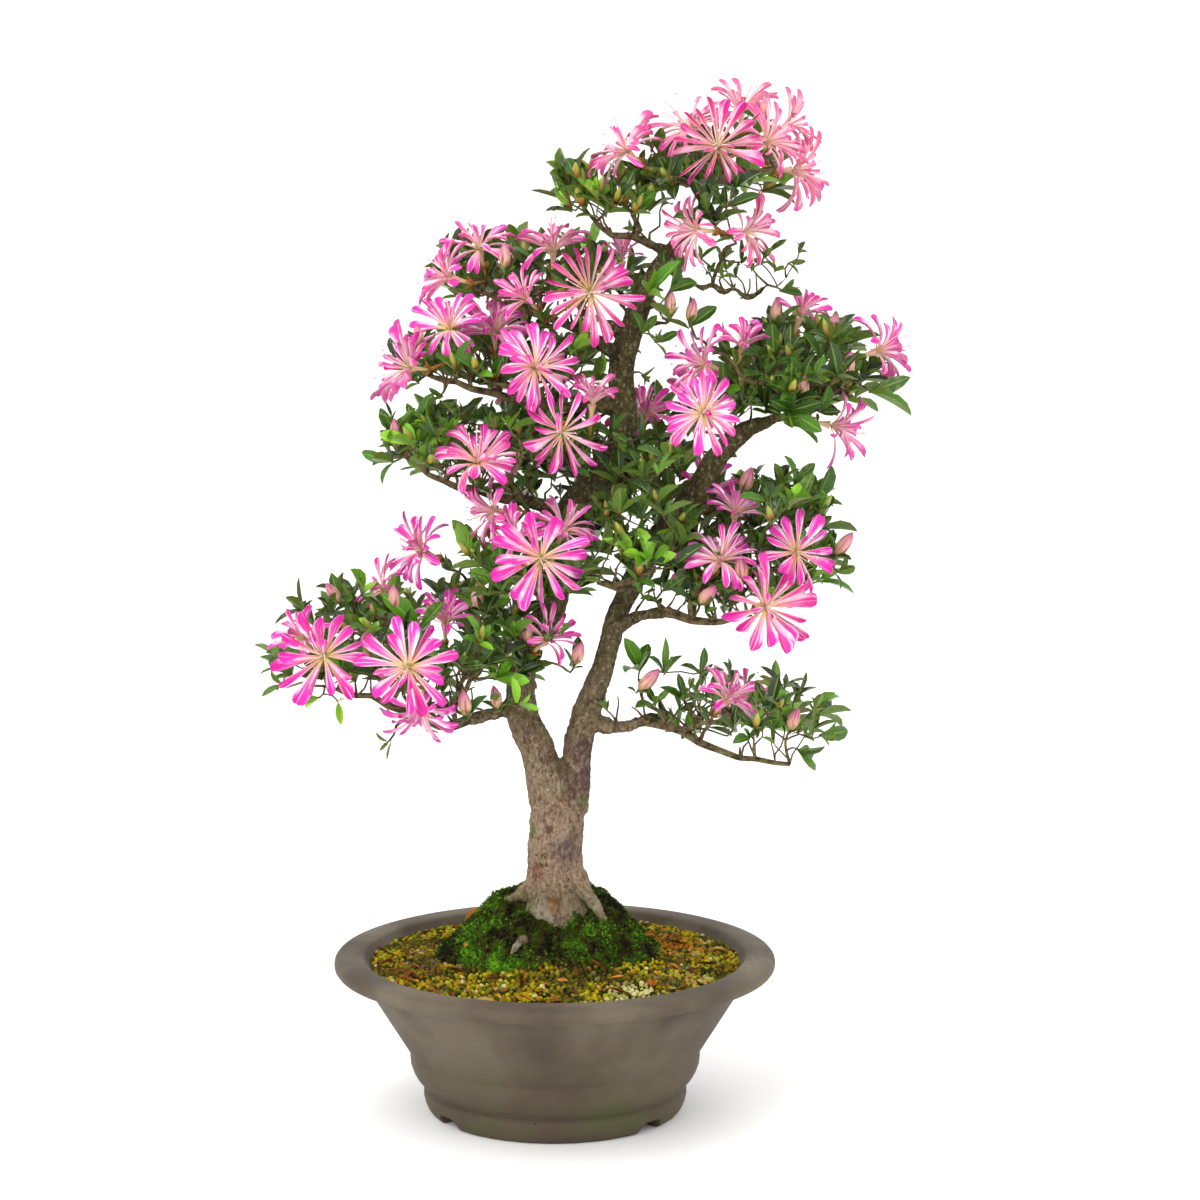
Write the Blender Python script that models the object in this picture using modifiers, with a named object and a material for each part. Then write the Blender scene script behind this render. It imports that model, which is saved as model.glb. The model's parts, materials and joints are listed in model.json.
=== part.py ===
"""Satsuki azalea bonsai in its stoneware pot.

Units are metres and +Z is up. The pot stands on z = 0 and the photographed side faces -Y. Blooms, buds and branches are
placed from their pixels in the photograph: a pinhole camera turns a pixel and a depth into a point.
"""

import math
import random
from collections import namedtuple

import bmesh
import bpy
from mathutils import Matrix, Vector
from mathutils.bvhtree import BVHTree

MM = 0.001
SEED = 11

# The pot, in millimetres
RIM_RADIUS = 150
RIM_HEIGHT = 108
OPENING_RADIUS = 129.5
WALL_FOOT_RADIUS = 99
WALL_FOOT_HEIGHT = 43
FOOT_RADIUS = 89
FOOT_HEIGHT = 16
DRAIN_RADIUS = 11
NOTCH_WIDTH = 21
NOTCH_HEIGHT = 8
NOTCH_ANGLES = (-144, -42.5, 47.5, 137.5)
POT_X = -23
TURNED_STEPS = 24

# Soil, moss and the buried foot of the trunk, in millimetres
SEAT_GAP = 0.3
SOIL_EDGE_HEIGHT = 102
SOIL_MOUND_HEIGHT = 126
FOOT_SIDE_RADIUS = 31
TRUNK_HOLE_RADIUS = 31.7
TRUNK_HOLE_FLOOR = 84
MOSS_HEIGHT = 149
MOSS_RADIUS = 74
SOIL_RELIEF = 1.1
MOSS_RELIEF = 1.6

# Blades, in millimetres
BLADE_THICKNESS = 0.7
STRAPS_A_BLOOM = 8
STRAP_WIDTH = 6.2
THROAT_RADIUS = 3.2
TUBE_LENGTH = 14
PEDICEL_LENGTH = 9
PEDICEL_RADIUS = 1.0
BUD_RADIUS = 3.9
BUD_LENGTH = 21
TWIG_RADIUS = 0.95
HUB_INNER_RADIUS = 1.25
LONG_TWIG = 34
LEAFY_BUD_LENGTH = 18

# The camera that took the photograph, as fitted to the pot
PHOTO_CENTRE = 600
FOCAL_PIXELS = 2833.3
CAMERA_PLACE = Vector((POT_X + 30.7, -1889, 588.7))
CAMERA_PITCH = math.radians(7.2)

Pad = namedtuple("Pad", "limb spines volume whorls")
Bloom = namedtuple("Bloom", "pad px py depth side rise length cup")
Bud = namedtuple("Bud", "pad px py depth side rise length")

# Each point is pixel x, pixel y, depth and radius, the last two in millimetres
LEFT_STEM = [
    (552, 812, 0, 12), (543, 768, 0, 14.5), (532, 742, 0, 14), (522, 715, 1, 12), (521, 680, 3, 10.5),
    (530, 640, 5, 10), (552, 606, 6, 10), (563, 560, 4, 10.5), (572, 515, 2, 12.5), (597, 489, 0, 13.5),
    (618, 466, 0, 12), (624, 420, 0, 10.8), (621, 372, 2, 10.5), (632, 326, 3, 9.5), (650, 283, 4, 8),
    (676, 248, 5, 6.5), (700, 212, 5, 5),
]
RIGHT_STEM = [
    (573, 812, 0, 10), (576, 768, -1, 12), (582, 738, -2, 11.8), (590, 705, -1, 10.4), (602, 670, 1, 9.5),
    (613, 630, 3, 8.8), (628, 590, 4, 9), (648, 552, 3, 9.4), (672, 522, 1, 9.6), (695, 496, 0, 9),
    (713, 464, 0, 8.6), (730, 443, 0, 8), (750, 428, 0, 6.5), (768, 422, 0, 5),
]
TRUNK_TOP = [(557, 906, 0, 29.5), (557, 893, 0, 24.5), (557, 876, 0, 20.5), (557, 850, 0, 19), (559, 805, 0, 19.5),
             (561, 768, 0, 18)]
UNDER_APEX_TWIG = [
    (668, 262, 5, 3.4), (688, 283, -4, 2.8), (712, 286, -8, 2.6), (732, 291, -8, 2.2), (756, 296, -6, 1.9),
    (771, 284, -4, 1.6), (786, 279, -2, 1.3),
]
ROOT_RIDGES = ((-95, 27), (-40, 24), (12, 25), (68, 27), (130, 25), (190, 26))

PADS = {
    "apex": Pad(
        [(690, 228, 5, 4.5), (706, 200, 4, 4.2)],
        [[(715, 180, 0, 3.6), (728, 168, -3, 3), (752, 172, -2, 2.6), (775, 168, 2, 2.2)],
         [(712, 178, 4, 2.6), (690, 165, 8, 2.2), (665, 158, 5, 2)],
         [(722, 172, 8, 2.4), (735, 150, 34, 2.2), (745, 140, 56, 1.9)]],
        (640, 790, 130, 210, -50, 90), 1,
    ),
    "apex_left": Pad(
        [(672, 254, 5, 4.5), (650, 244, 2, 4)],
        [[(632, 236, 0, 3.4), (612, 235, -4, 2.8), (596, 222, -8, 2.2)], [(640, 230, -6, 2.6), (632, 214, -12, 2)]],
        (555, 665, 165, 230, -35, 35), 1,
    ),
    "high_left": Pad(
        [(622, 356, 2, 6), (603, 346, 4, 5.2), (584, 334, 6, 4.6)],
        [[(560, 322, 8, 3.8), (530, 312, 10, 3.2), (495, 297, 10, 2.5), (470, 288, 8, 2)],
         [(575, 326, -6, 2.8), (580, 312, -20, 2.2)], [(540, 312, 34, 2.6), (520, 296, 72, 2)]],
        (440, 640, 245, 315, -50, 105), 2,
    ),
    "upper_left": Pad(
        [(622, 408, 0, 6.5), (592, 405, -5, 5.8), (565, 408, -8, 5)],
        [[(530, 402, -10, 4.4), (492, 393, -12, 3.6), (456, 382, -14, 2.8), (430, 376, -16, 2.2)],
         [(520, 398, -24, 2.6), (505, 385, -42, 2)], [(500, 390, 20, 2.6), (480, 374, 62, 2)]],
        (400, 600, 325, 400, -60, 95), 1,
    ),
    "mid_left": Pad(
        [(570, 520, 2, 8), (546, 507, -8, 6.4), (524, 500, -16, 5.4)],
        [[(496, 497, -20, 4.2), (458, 487, -24, 3.4), (428, 474, -26, 2.6), (404, 455, -26, 2)],
         [(500, 490, -38, 2.6), (510, 475, -54, 2)], [(480, 486, 14, 2.6), (466, 470, 58, 2)]],
        (395, 580, 415, 490, -70, 90), 2,
    ),
    "centre": Pad(
        [(556, 600, 5, 6), (545, 596, -14, 4.8), (540, 592, -28, 4.2)],
        [[(530, 588, -42, 3.4), (520, 575, -52, 2.6), (512, 562, -50, 2)],
         [(548, 586, -46, 2.8), (556, 572, -58, 2.2)]],
        (470, 600, 500, 610, -85, -5), 1,
    ),
    "heart": Pad(
        [(632, 584, 3, 5), (624, 587, -14, 4.4), (620, 588, -26, 4)],
        [[(612, 586, -36, 3.2), (598, 582, -44, 2.4)], [(632, 580, -38, 2.8), (650, 572, -46, 2.2)]],
        (590, 690, 520, 590, -75, -10), 2,
    ),
    "lower_left": Pad(
        [(518, 704, 2, 7), (496, 713, -8, 6), (468, 720, -18, 5.2)],
        [[(440, 726, -26, 4.4), (408, 712, -32, 3.6), (372, 696, -36, 2.8), (338, 690, -38, 2.2)],
         [(428, 706, 10, 3.2), (392, 682, 50, 2.6), (360, 658, 74, 2)],
         [(452, 706, -40, 2.8), (470, 680, -50, 2.2)], [(456, 704, 20, 2.8), (468, 672, 60, 2.2)]],
        (280, 540, 590, 712, -80, 110), 3,
    ),
    "right_upper": Pad(
        [(758, 425, 0, 4.6), (776, 418, -2, 4)],
        [[(798, 414, -4, 3.4), (822, 404, -5, 2.8), (845, 385, -4, 2.2)],
         [(790, 402, 4, 3), (786, 380, 8, 2.6), (780, 358, 8, 2.2)],
         [(792, 400, -18, 2.6), (770, 385, -34, 2.2), (740, 375, -36, 1.9)],
         [(800, 398, 34, 2.6), (806, 372, 76, 2)]],
        (730, 870, 325, 405, -60, 100), 2,
    ),
    "right_mid": Pad(
        [(613, 630, 0, 6), (636, 617, -10, 5.4), (664, 612, -18, 5)],
        [[(692, 620, -22, 4), (716, 622, -26, 3.2), (742, 616, -28, 2.4)],
         [(694, 604, -10, 3), (712, 580, 4, 2.6), (745, 560, 8, 2.2), (785, 575, 6, 1.9)],
         [(690, 606, -34, 2.6), (700, 588, -46, 2)], [(716, 570, 22, 2.4), (740, 530, 50, 2.2), (768, 510, 66, 1.9)]],
        (670, 830, 480, 605, -65, 95), 2,
    ),
    "lower_right": Pad(
        [(591, 722, -2, 6.6), (618, 727, -8, 5.8), (646, 721, -12, 5.2)],
        [[(682, 731, -15, 4.2), (716, 749, -18, 3.2), (756, 759, -20, 2.5), (790, 764, -22, 2)],
         [(690, 724, 12, 2.8), (710, 714, 46, 2.2), (740, 712, 72, 1.9)], [(690, 728, -30, 2.6), (715, 722, -44, 2)]],
        (660, 830, 680, 745, -65, 100), 2,
    ),
    "back": Pad(
        [(618, 470, 4, 8), (612, 462, 26, 6.4), (604, 452, 50, 5.4)],
        [[(594, 440, 72, 4.2), (565, 425, 94, 3.2), (535, 405, 108, 2.4)],
         [(628, 446, 74, 3.4), (672, 438, 96, 2.6), (705, 420, 106, 2)],
         [(598, 470, 84, 3.4), (580, 520, 106, 2.8), (556, 560, 112, 2.2)],
         [(636, 480, 84, 3), (670, 530, 106, 2.6), (700, 570, 110, 2)]],
        (510, 720, 400, 590, 60, 125), 2,
    ),
}

# A bloom with no pad grows in a bunch, from the stalk of the bloom above it
BLOOMS = [
    Bloom("apex", 628, 152, -12, -60, 35, 28, 30),
    Bloom("apex", 690, 130, 28, -45, 60, 28, 25),
    Bloom("apex", 741, 114, 24, 10, 80, 25, 55),
    Bloom(None, 786, 126, 44, 80, 25, 23, 50),
    Bloom(None, 792, 170, 14, 85, 0, 27, 40),
    Bloom("apex", 718, 147, -34, -5, 15, 29, 15),
    Bloom(None, 765, 143, -14, 60, 20, 27, 40),
    Bloom("apex", 699, 231, -26, -75, 0, 26, 40),
    Bloom(None, 742, 232, -12, 70, 10, 26, 48),
    Bloom("high_left", 480, 250, 8, -20, 60, 25, 45),
    Bloom(None, 452, 278, -5, -85, 15, 25, 55),
    Bloom("high_left", 553, 252, 20, 5, 75, 25, 50),
    Bloom("high_left", 528, 300, -24, -40, 35, 22, 55),
    Bloom(None, 590, 292, -44, 5, 5, 30, 12),
    Bloom("high_left", 622, 262, 38, 0, 60, 18, 65),
    Bloom("upper_left", 450, 330, -18, -20, 50, 25, 42),
    Bloom(None, 410, 368, -28, -60, 5, 28, 20),
    Bloom("upper_left", 495, 335, 10, 0, 60, 27, 48),
    Bloom("upper_left", 535, 368, -52, 25, 15, 29, 25),
    Bloom("upper_left", 592, 405, -34, 10, 70, 20, 65),
    Bloom("mid_left", 478, 464, -44, 5, 50, 27, 40),
    Bloom("mid_left", 562, 432, -64, 5, -15, 26, 18),
    Bloom("mid_left", 499, 512, -34, -80, -5, 26, 52),
    Bloom("centre", 520, 537, -44, -30, 35, 22, 62),
    Bloom(None, 563, 533, -36, 35, 50, 24, 58),
    Bloom("centre", 541, 558, -82, 0, 5, 30, 12),
    Bloom("centre", 545, 642, -40, 50, 35, 22, 62),
    Bloom("back", 644, 418, 40, 10, 55, 26, 48),
    Bloom("right_upper", 707, 365, -20, -75, 20, 26, 52),
    Bloom(None, 742, 350, -14, 25, 60, 20, 70),
    Bloom("right_upper", 703, 413, -54, 10, 15, 26, 32),
    Bloom("right_upper", 876, 352, 0, 80, 15, 26, 48),
    Bloom("right_upper", 830, 425, -8, 80, -10, 26, 66),
    Bloom("right_upper", 800, 318, 14, 35, 60, 20, 66),
    Bloom("right_mid", 706, 495, 26, -10, 70, 24, 48),
    Bloom("right_mid", 735, 515, -14, 20, 65, 22, 62),
    Bloom("right_mid", 720, 562, -40, 30, 45, 27, 42),
    Bloom("right_mid", 797, 552, -32, 15, 10, 26, 15),
    Bloom("right_mid", 765, 607, -56, 25, 5, 30, 20),
    Bloom("lower_left", 425, 552, 12, -65, 25, 27, 46),
    Bloom("lower_left", 385, 590, 14, -60, 40, 21, 58),
    Bloom("lower_left", 324, 656, -66, -10, 5, 30, 12),
    Bloom("lower_left", 408, 667, -78, 5, 10, 30, 15),
    Bloom(None, 421, 706, -52, -15, -65, 26, 44),
    Bloom("lower_left", 305, 640, 0, -40, 50, 22, 52),
    Bloom("lower_left", 445, 625, -10, 0, 75, 25, 56),
    Bloom("lower_right", 725, 702, -24, 50, 45, 24, 52),
    Bloom("back", 528, 392, 118, 195, 25, 28, 20),
    Bloom("back", 706, 404, 116, 160, 30, 28, 20),
    Bloom("back", 560, 560, 124, 190, 5, 28, 18),
    Bloom("back", 706, 572, 120, 150, 10, 27, 22),
    Bloom("high_left", 515, 285, 98, 200, 35, 27, 25),
    Bloom("lower_left", 385, 640, 106, 200, 25, 28, 22),
    Bloom("lower_right", 745, 700, 98, 160, 30, 26, 28),
]

BUDS = [
    Bud("mid_left", 397, 447, -26, -15, 75, 20),
    Bud("lower_left", 478, 612, -30, 5, 85, 20),
    Bud("lower_left", 395, 612, -30, -10, 80, 19),
    Bud("lower_left", 466, 715, -44, -15, 70, 19),
    Bud("lower_left", 498, 708, -34, -30, 70, 17),
    Bud("heart", 638, 575, -46, 20, 70, 15),
    Bud("lower_right", 640, 690, -20, 55, 45, 22),
    Bud("high_left", 505, 268, -12, -5, 85, 17),
    Bud("right_upper", 690, 322, -10, 25, 70, 17),
    Bud("right_upper", 776, 322, 6, 10, 80, 17),
    Bud("right_upper", 831, 338, -14, 20, 65, 18),
    Bud("right_upper", 846, 378, -26, 25, 70, 19),
    Bud("right_upper", 803, 398, -36, 5, 85, 18),
    Bud("right_mid", 836, 555, -10, 50, 50, 21),
    Bud("right_mid", 700, 603, -40, 40, 40, 20),
    Bud("lower_right", 790, 730, -24, 30, 60, 19),
    Bud("apex", 765, 118, -6, 15, 80, 17),
    Bud("apex_left", 625, 205, -16, -10, 75, 15),
    Bud("apex_left", 650, 205, -8, 10, 75, 15),
    Bud("apex_left", 583, 205, -12, -40, 60, 15),
]

COLOURS = {
    "stoneware": (0.155, 0.135, 0.112, 0.62),
    "soil": (0.34, 0.25, 0.06, 0.95),
    "moss": (0.05, 0.11, 0.015, 0.95),
    "bark": (0.25, 0.19, 0.14, 0.85),
    "foliage": (0.04, 0.13, 0.03, 0.4),
    "petal": (0.86, 0.2, 0.5, 0.5),
}


def clear_scene():
    for obj in list(bpy.data.objects):
        bpy.data.objects.remove(obj)


def new_collection(name, hidden=False):
    collection = bpy.data.collections.new(name)
    bpy.context.scene.collection.children.link(collection)
    collection.hide_render = hidden
    return collection


def material(name):
    red, green, blue, roughness = COLOURS[name]
    made = bpy.data.materials.new(name)
    made.use_nodes = True
    shader = made.node_tree.nodes["Principled BSDF"]
    shader.inputs["Base Color"].default_value = (red, green, blue, 1)
    shader.inputs["Roughness"].default_value = roughness
    shader.inputs["Metallic"].default_value = 0
    return made


def at(px, py, depth):
    """The point in millimetres that the photograph shows at a pixel, at a depth behind the pot's axis."""
    ahead = Vector((0, math.cos(CAMERA_PITCH), -math.sin(CAMERA_PITCH)))
    up = Vector((0, math.sin(CAMERA_PITCH), math.cos(CAMERA_PITCH)))
    across = Vector((1, 0, 0)) * (px - PHOTO_CENTRE) / FOCAL_PIXELS
    ray = ahead + across + up * (PHOTO_CENTRE - py) / FOCAL_PIXELS
    return CAMERA_PLACE + ray * (depth - CAMERA_PLACE.y) / ray.y


def facing(side, rise):
    """The unit vector that looks side degrees to the right of the camera's own direction and rise degrees up."""
    side, rise = math.radians(side), math.radians(rise)
    return Vector((math.sin(side) * math.cos(rise), -math.cos(side) * math.cos(rise), math.sin(rise)))


def from_photo(points):
    return [(at(px, py, depth), radius) for px, py, depth, radius in points]


def weld(mesh):
    bm = bmesh.new()
    bm.from_mesh(mesh)
    bmesh.ops.remove_doubles(bm, verts=bm.verts, dist=1e-6)
    bmesh.ops.recalc_face_normals(bm, faces=bm.faces)
    bm.to_mesh(mesh)
    bm.free()
    return mesh


def tube(stations, sides=4):
    """A closed tube through stations, each a point and a radius in millimetres."""
    curve = bpy.data.curves.new("tube", "CURVE")
    curve.dimensions = "3D"
    curve.bevel_depth = MM
    curve.bevel_resolution = sides // 2 - 2
    curve.use_fill_caps = True
    spline = curve.splines.new("POLY")
    spline.points.add(len(stations) - 1)
    for knot, (point, radius) in zip(spline.points, stations):
        knot.co = (*(point * MM), 1)
        knot.radius = radius
    guide = bpy.data.objects.new("tube", curve)
    bpy.context.scene.collection.objects.link(guide)
    graph = bpy.context.evaluated_depsgraph_get()
    mesh = weld(bpy.data.meshes.new_from_object(guide.evaluated_get(graph)))
    bpy.data.objects.remove(guide)
    bpy.data.curves.remove(curve)
    return mesh


def towards(axis):
    """A turn that takes +Z to axis."""
    return axis.to_track_quat("Z", "Y").to_matrix().to_4x4()


def rosette(centre, axis, hub_radius, twist, blades):
    """Blades round a flat hub whose mid plane is at centre, all one solid of even thickness.

    A blade is its length, lift in degrees, width and tip share.
    """
    bm = bmesh.new()
    turn = Matrix.Rotation(twist, 4, "Z")
    bmesh.ops.create_circle(bm, cap_ends=True, radius=hub_radius * MM, segments=len(blades), matrix=turn)
    rim = [edge for edge in bm.edges if edge.is_boundary]
    for edge, (length, lift, width, tip_share) in zip(rim, blades):
        ends = list(edge.verts)
        middle = (ends[0].co + ends[1].co) / 2
        outward = middle.normalized()
        across = (ends[1].co - ends[0].co).normalized()
        lift = math.radians(lift)
        reach = (outward * math.cos(lift) + Vector((0, 0, math.sin(lift)))) * length * MM
        shoulder = middle + reach * (1 - tip_share)
        wide = [bm.verts.new(shoulder + across * width * MM * share) for share in (0.5, -0.5)]
        bm.faces.new((ends[0], ends[1], wide[0], wide[1]))
        if tip_share:
            droop = Vector((0, 0, -math.sin(0.35))) * length * MM * tip_share
            bm.faces.new((wide[1], wide[0], bm.verts.new(middle + reach + droop)))
    bmesh.ops.recalc_face_normals(bm, faces=bm.faces)
    bmesh.ops.solidify(bm, geom=bm.faces[:], thickness=BLADE_THICKNESS * MM)
    bmesh.ops.recalc_face_normals(bm, faces=bm.faces)
    hub = [vertex.co.z for vertex in bm.verts if math.hypot(vertex.co.x, vertex.co.y) < hub_radius * 1.2 * MM]
    middle = Vector((0, 0, (min(hub) + max(hub)) / 2))
    place = Matrix.Translation(centre * MM) @ towards(axis) @ Matrix.Translation(-middle)
    bmesh.ops.transform(bm, verts=bm.verts, matrix=place)
    mesh = bpy.data.meshes.new("rosette")
    bm.to_mesh(mesh)
    bm.free()
    return mesh


def bvh(mesh):
    return BVHTree.FromPolygons([v.co for v in mesh.vertices], [p.vertices for p in mesh.polygons])


class Space:
    """The solids placed so far, to keep nodes from crossing."""

    def __init__(self):
        self.solids = []

    def add(self, owner, mesh):
        low, high = self.bounds(mesh)
        self.solids.append((owner, bvh(mesh), low, high))

    def bounds(self, mesh):
        rows = [[v.co[axis] for v in mesh.vertices] for axis in range(3)]
        return [min(row) for row in rows], [max(row) for row in rows]

    def crossing(self, meshes, owner):
        for mesh in meshes:
            low, high = self.bounds(mesh)
            tree = None
            for other, solid, other_low, other_high in self.solids:
                if other == owner:
                    continue
                if any(low[i] > other_high[i] or high[i] < other_low[i] for i in range(3)):
                    continue
                tree = tree or bvh(mesh)
                if tree.overlap(solid):
                    return other
        return None


def union(name, meshes, collection, finish):
    """One solid node made of all the meshes."""
    helpers = bpy.data.collections.new(name + "_pieces")
    for mesh in meshes[1:]:
        helpers.objects.link(bpy.data.objects.new("piece", mesh))
    obj = bpy.data.objects.new(name, meshes[0])
    collection.objects.link(obj)
    joint = obj.modifiers.new("join", "BOOLEAN")
    joint.operation = "UNION"
    joint.operand_type = "COLLECTION"
    joint.collection = helpers
    joint.solver = "MANIFOLD"
    graph = bpy.context.evaluated_depsgraph_get()
    joined = bpy.data.meshes.new_from_object(obj.evaluated_get(graph))
    obj.modifiers.clear()
    obj.data = joined
    for piece in list(helpers.objects):
        bpy.data.objects.remove(piece)
    bpy.data.collections.remove(helpers)
    joined.name = name
    joined.materials.clear()
    joined.materials.append(finish)
    return obj


def turned(name, profile, collection, finish, closed=False, rough=None):
    """A profile of radius and height pairs turned round the pot's axis. rough is (first radius, last, height)."""
    ends = [(i, i + 1) for i in range(len(profile) - 1)]
    if closed:
        ends.append((len(profile) - 1, 0))
    outline = bpy.data.meshes.new(name)
    outline.from_pydata([(radius * MM, 0, height * MM) for radius, height in profile], ends, [])
    obj = bpy.data.objects.new(name, outline)
    collection.objects.link(obj)
    screw = obj.modifiers.new("turn", "SCREW")
    screw.steps = TURNED_STEPS
    screw.render_steps = TURNED_STEPS
    screw.use_merge_vertices = True
    screw.merge_threshold = 0.0001
    graph = bpy.context.evaluated_depsgraph_get()
    solid = bpy.data.meshes.new_from_object(obj.evaluated_get(graph))
    solid.transform(Matrix.Translation((POT_X * MM, 0, 0)))
    obj.modifiers.clear()
    obj.data = solid
    if rough:
        roughen(solid, *rough)
    solid.materials.append(finish)
    return obj


def roughen(mesh, first_radius, last_radius, lowest, relief):
    """Lifts and lowers the points of an upper face between two radii, all by seeded draws."""
    draw = random.Random(SEED)
    for vertex in mesh.vertices:
        radius = math.hypot(vertex.co.x / MM - POT_X, vertex.co.y / MM)
        if first_radius < radius < last_radius and vertex.co.z > lowest * MM:
            vertex.co.z += draw.uniform(-relief, relief) * MM


def make_pot(collection, cutters):
    profile = [
        (148, RIM_HEIGHT), (RIM_RADIUS, 105.5), (RIM_RADIUS, 100), (147, 97.5), (131, 96.5),
        (WALL_FOOT_RADIUS, WALL_FOOT_HEIGHT), (96.5, 29), (88, FOOT_HEIGHT + 0.5),
        (FOOT_RADIUS + 0.5, FOOT_HEIGHT - 1.5), (FOOT_RADIUS - 0.5, 8), (84.5, 0), (76, 0), (74, 7),
        (DRAIN_RADIUS, 7), (DRAIN_RADIUS, 17), (78, 17), (86, 27), (91.5, 45), (123, 98),
        (OPENING_RADIUS, RIM_HEIGHT),
    ]
    pot = turned("pot", profile, collection, material("stoneware"), closed=True)
    for turn in NOTCH_ANGLES:
        bm = bmesh.new()
        size = Matrix.Diagonal((30 * MM, NOTCH_WIDTH * MM, NOTCH_HEIGHT * MM * 2, 1))
        angle = math.radians(turn)
        middle = Vector((POT_X + 84 * math.cos(angle), 84 * math.sin(angle), 0)) * MM
        bmesh.ops.create_cube(bm, size=1, matrix=Matrix.Translation(middle) @ Matrix.Rotation(angle, 4, "Z") @ size)
        arched = [edge for edge in bm.edges if min(v.co.z for v in edge.verts) > 0 and across_wall(edge, angle)]
        bmesh.ops.bevel(bm, geom=arched, offset=5 * MM, segments=3, profile=0.5, affect="EDGES")
        mesh = bpy.data.meshes.new("notch")
        bm.to_mesh(mesh)
        bm.free()
        cutter = bpy.data.objects.new("notch", mesh)
        cutter.hide_render = True
        cutter.display_type = "WIRE"
        cutters.objects.link(cutter)
        cut = pot.modifiers.new("notch", "BOOLEAN")
        cut.object = cutter
        cut.operation = "DIFFERENCE"
    return pot


def across_wall(edge, angle):
    """Whether an edge of a notch's cutter runs through the foot's wall, along its radius."""
    run = (edge.verts[1].co - edge.verts[0].co).normalized()
    return abs(run.x * math.cos(angle) + run.y * math.sin(angle)) > 0.9


def make_soil(collection):
    profile = [
        (0, TRUNK_HOLE_FLOOR), (TRUNK_HOLE_RADIUS, TRUNK_HOLE_FLOOR), (TRUNK_HOLE_RADIUS, SOIL_MOUND_HEIGHT),
        (45, 119), (58, 111.5), (MOSS_RADIUS, 107), (92, 105.2), (109, 104),
        (125.3, SOIL_EDGE_HEIGHT), (122.5, 98), (91, 45.2), (85.5, 27.2), (77.6, 17.4), (0, 17.4),
    ]
    return turned("soil", profile, collection, material("soil"), rough=(80, 120, SOIL_EDGE_HEIGHT - 2, SOIL_RELIEF))


def make_moss(collection):
    profile = [
        (TRUNK_HOLE_RADIUS, MOSS_HEIGHT - 7), (38, MOSS_HEIGHT - 1), (47, 141), (57, 129), (66, 117),
        (MOSS_RADIUS + 1, 108.6), (MOSS_RADIUS, 107.4), (58, 111.95), (45, 119.45),
        (TRUNK_HOLE_RADIUS, SOIL_MOUND_HEIGHT + 0.45),
    ]
    return turned("moss", profile, collection, material("moss"), closed=True, rough=(36, 60, 124, MOSS_RELIEF))


def limb_end(limb):
    """The last point of a limb, its heading there and its radius."""
    stations = from_photo(limb)
    return stations[-1][0], (stations[-1][0] - stations[-2][0]).normalized(), stations[-1][1]


def make_wood(collection, space):
    foot = Vector((POT_X, 0, 0))
    bottom = [(foot + Vector((0, 0, height)), FOOT_SIDE_RADIUS) for height in (TRUNK_HOLE_FLOOR + 0.4, 132)]
    meshes = [
        tube(bottom + from_photo(TRUNK_TOP), 12),
        tube(from_photo(LEFT_STEM), 8),
        tube(from_photo(RIGHT_STEM), 8),
        tube(from_photo(UNDER_APEX_TWIG), 4),
    ]
    for turn, reach in ROOT_RIDGES:
        outward = Vector((math.cos(math.radians(turn)), math.sin(math.radians(turn)), 0))
        ridge = [(foot + outward * 13 + Vector((0, 0, 176)), 4), (foot + outward * 18 + Vector((0, 0, 154)), 4.8),
                 (foot + outward * (reach - 2) + Vector((0, 0, 134)), 4)]
        meshes.append(tube(ridge, 6))
    for pad in PADS.values():
        meshes.append(tube(from_photo(pad.limb), 6))
    obj = union("trunk_and_branches", meshes, collection, material("bark"))
    space.add("trunk_and_branches", obj.data)
    return obj


def nearest(skeleton, point):
    return min(skeleton, key=lambda station: (station[0] - point).length)


def inner_stations(stations):
    """The stations after the first, with one more halfway along each span."""
    found = []
    for (start, start_radius), (end, end_radius) in zip(stations, stations[1:]):
        found += [((start + end) / 2, (start_radius + end_radius) / 2), (end, end_radius)]
    return found


def spine_tubes(pad):
    """The tubes of a pad's own branches and the skeleton that its twigs grow from."""
    end, heading, radius = limb_end(pad.limb)
    start = end + heading * SEAT_GAP
    straight = start + heading * 3
    first = [(start, radius), (straight, radius)] + from_photo(pad.spines[0])
    skeleton = inner_stations(first[1:])
    meshes = [tube(first, 4)]
    for spine in pad.spines[1:]:
        stations = from_photo(spine)
        root = nearest(skeleton, stations[0][0])
        side = [(root[0], min(root[1], stations[0][1]) * 0.9)] + stations
        skeleton += inner_stations(side)
        meshes.append(tube(side, 4))
    return meshes, skeleton


def bloom_solid(bloom, shift, twist, draw, leader):
    """A bloom's rosette of straps and its stalk, with the joint and heading of the twig that bears it."""
    centre = at(bloom.px, bloom.py, bloom.depth + shift)
    axis = facing(bloom.side, bloom.rise)
    heading = (axis + Vector((0, 0, 0.5))).normalized()
    joint = centre - axis * TUBE_LENGTH - heading * PEDICEL_LENGTH
    if leader:
        joint, heading = leader
        stalk = [(joint + heading * 3, PEDICEL_RADIUS)]
    else:
        stalk = [(joint + heading * SEAT_GAP, PEDICEL_RADIUS)]
    stalk += [(centre - axis * TUBE_LENGTH, 1.3), (centre, 2.6)]
    blades = [
        (bloom.length * draw.uniform(0.84, 1.04), bloom.cup + draw.uniform(-9, 9),
         STRAP_WIDTH * draw.uniform(0.85, 1.15), 0)
        for _ in range(STRAPS_A_BLOOM)
    ]
    return rosette(centre, axis, THROAT_RADIUS, twist, blades), tube(stalk, 4), (joint, heading)


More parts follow.
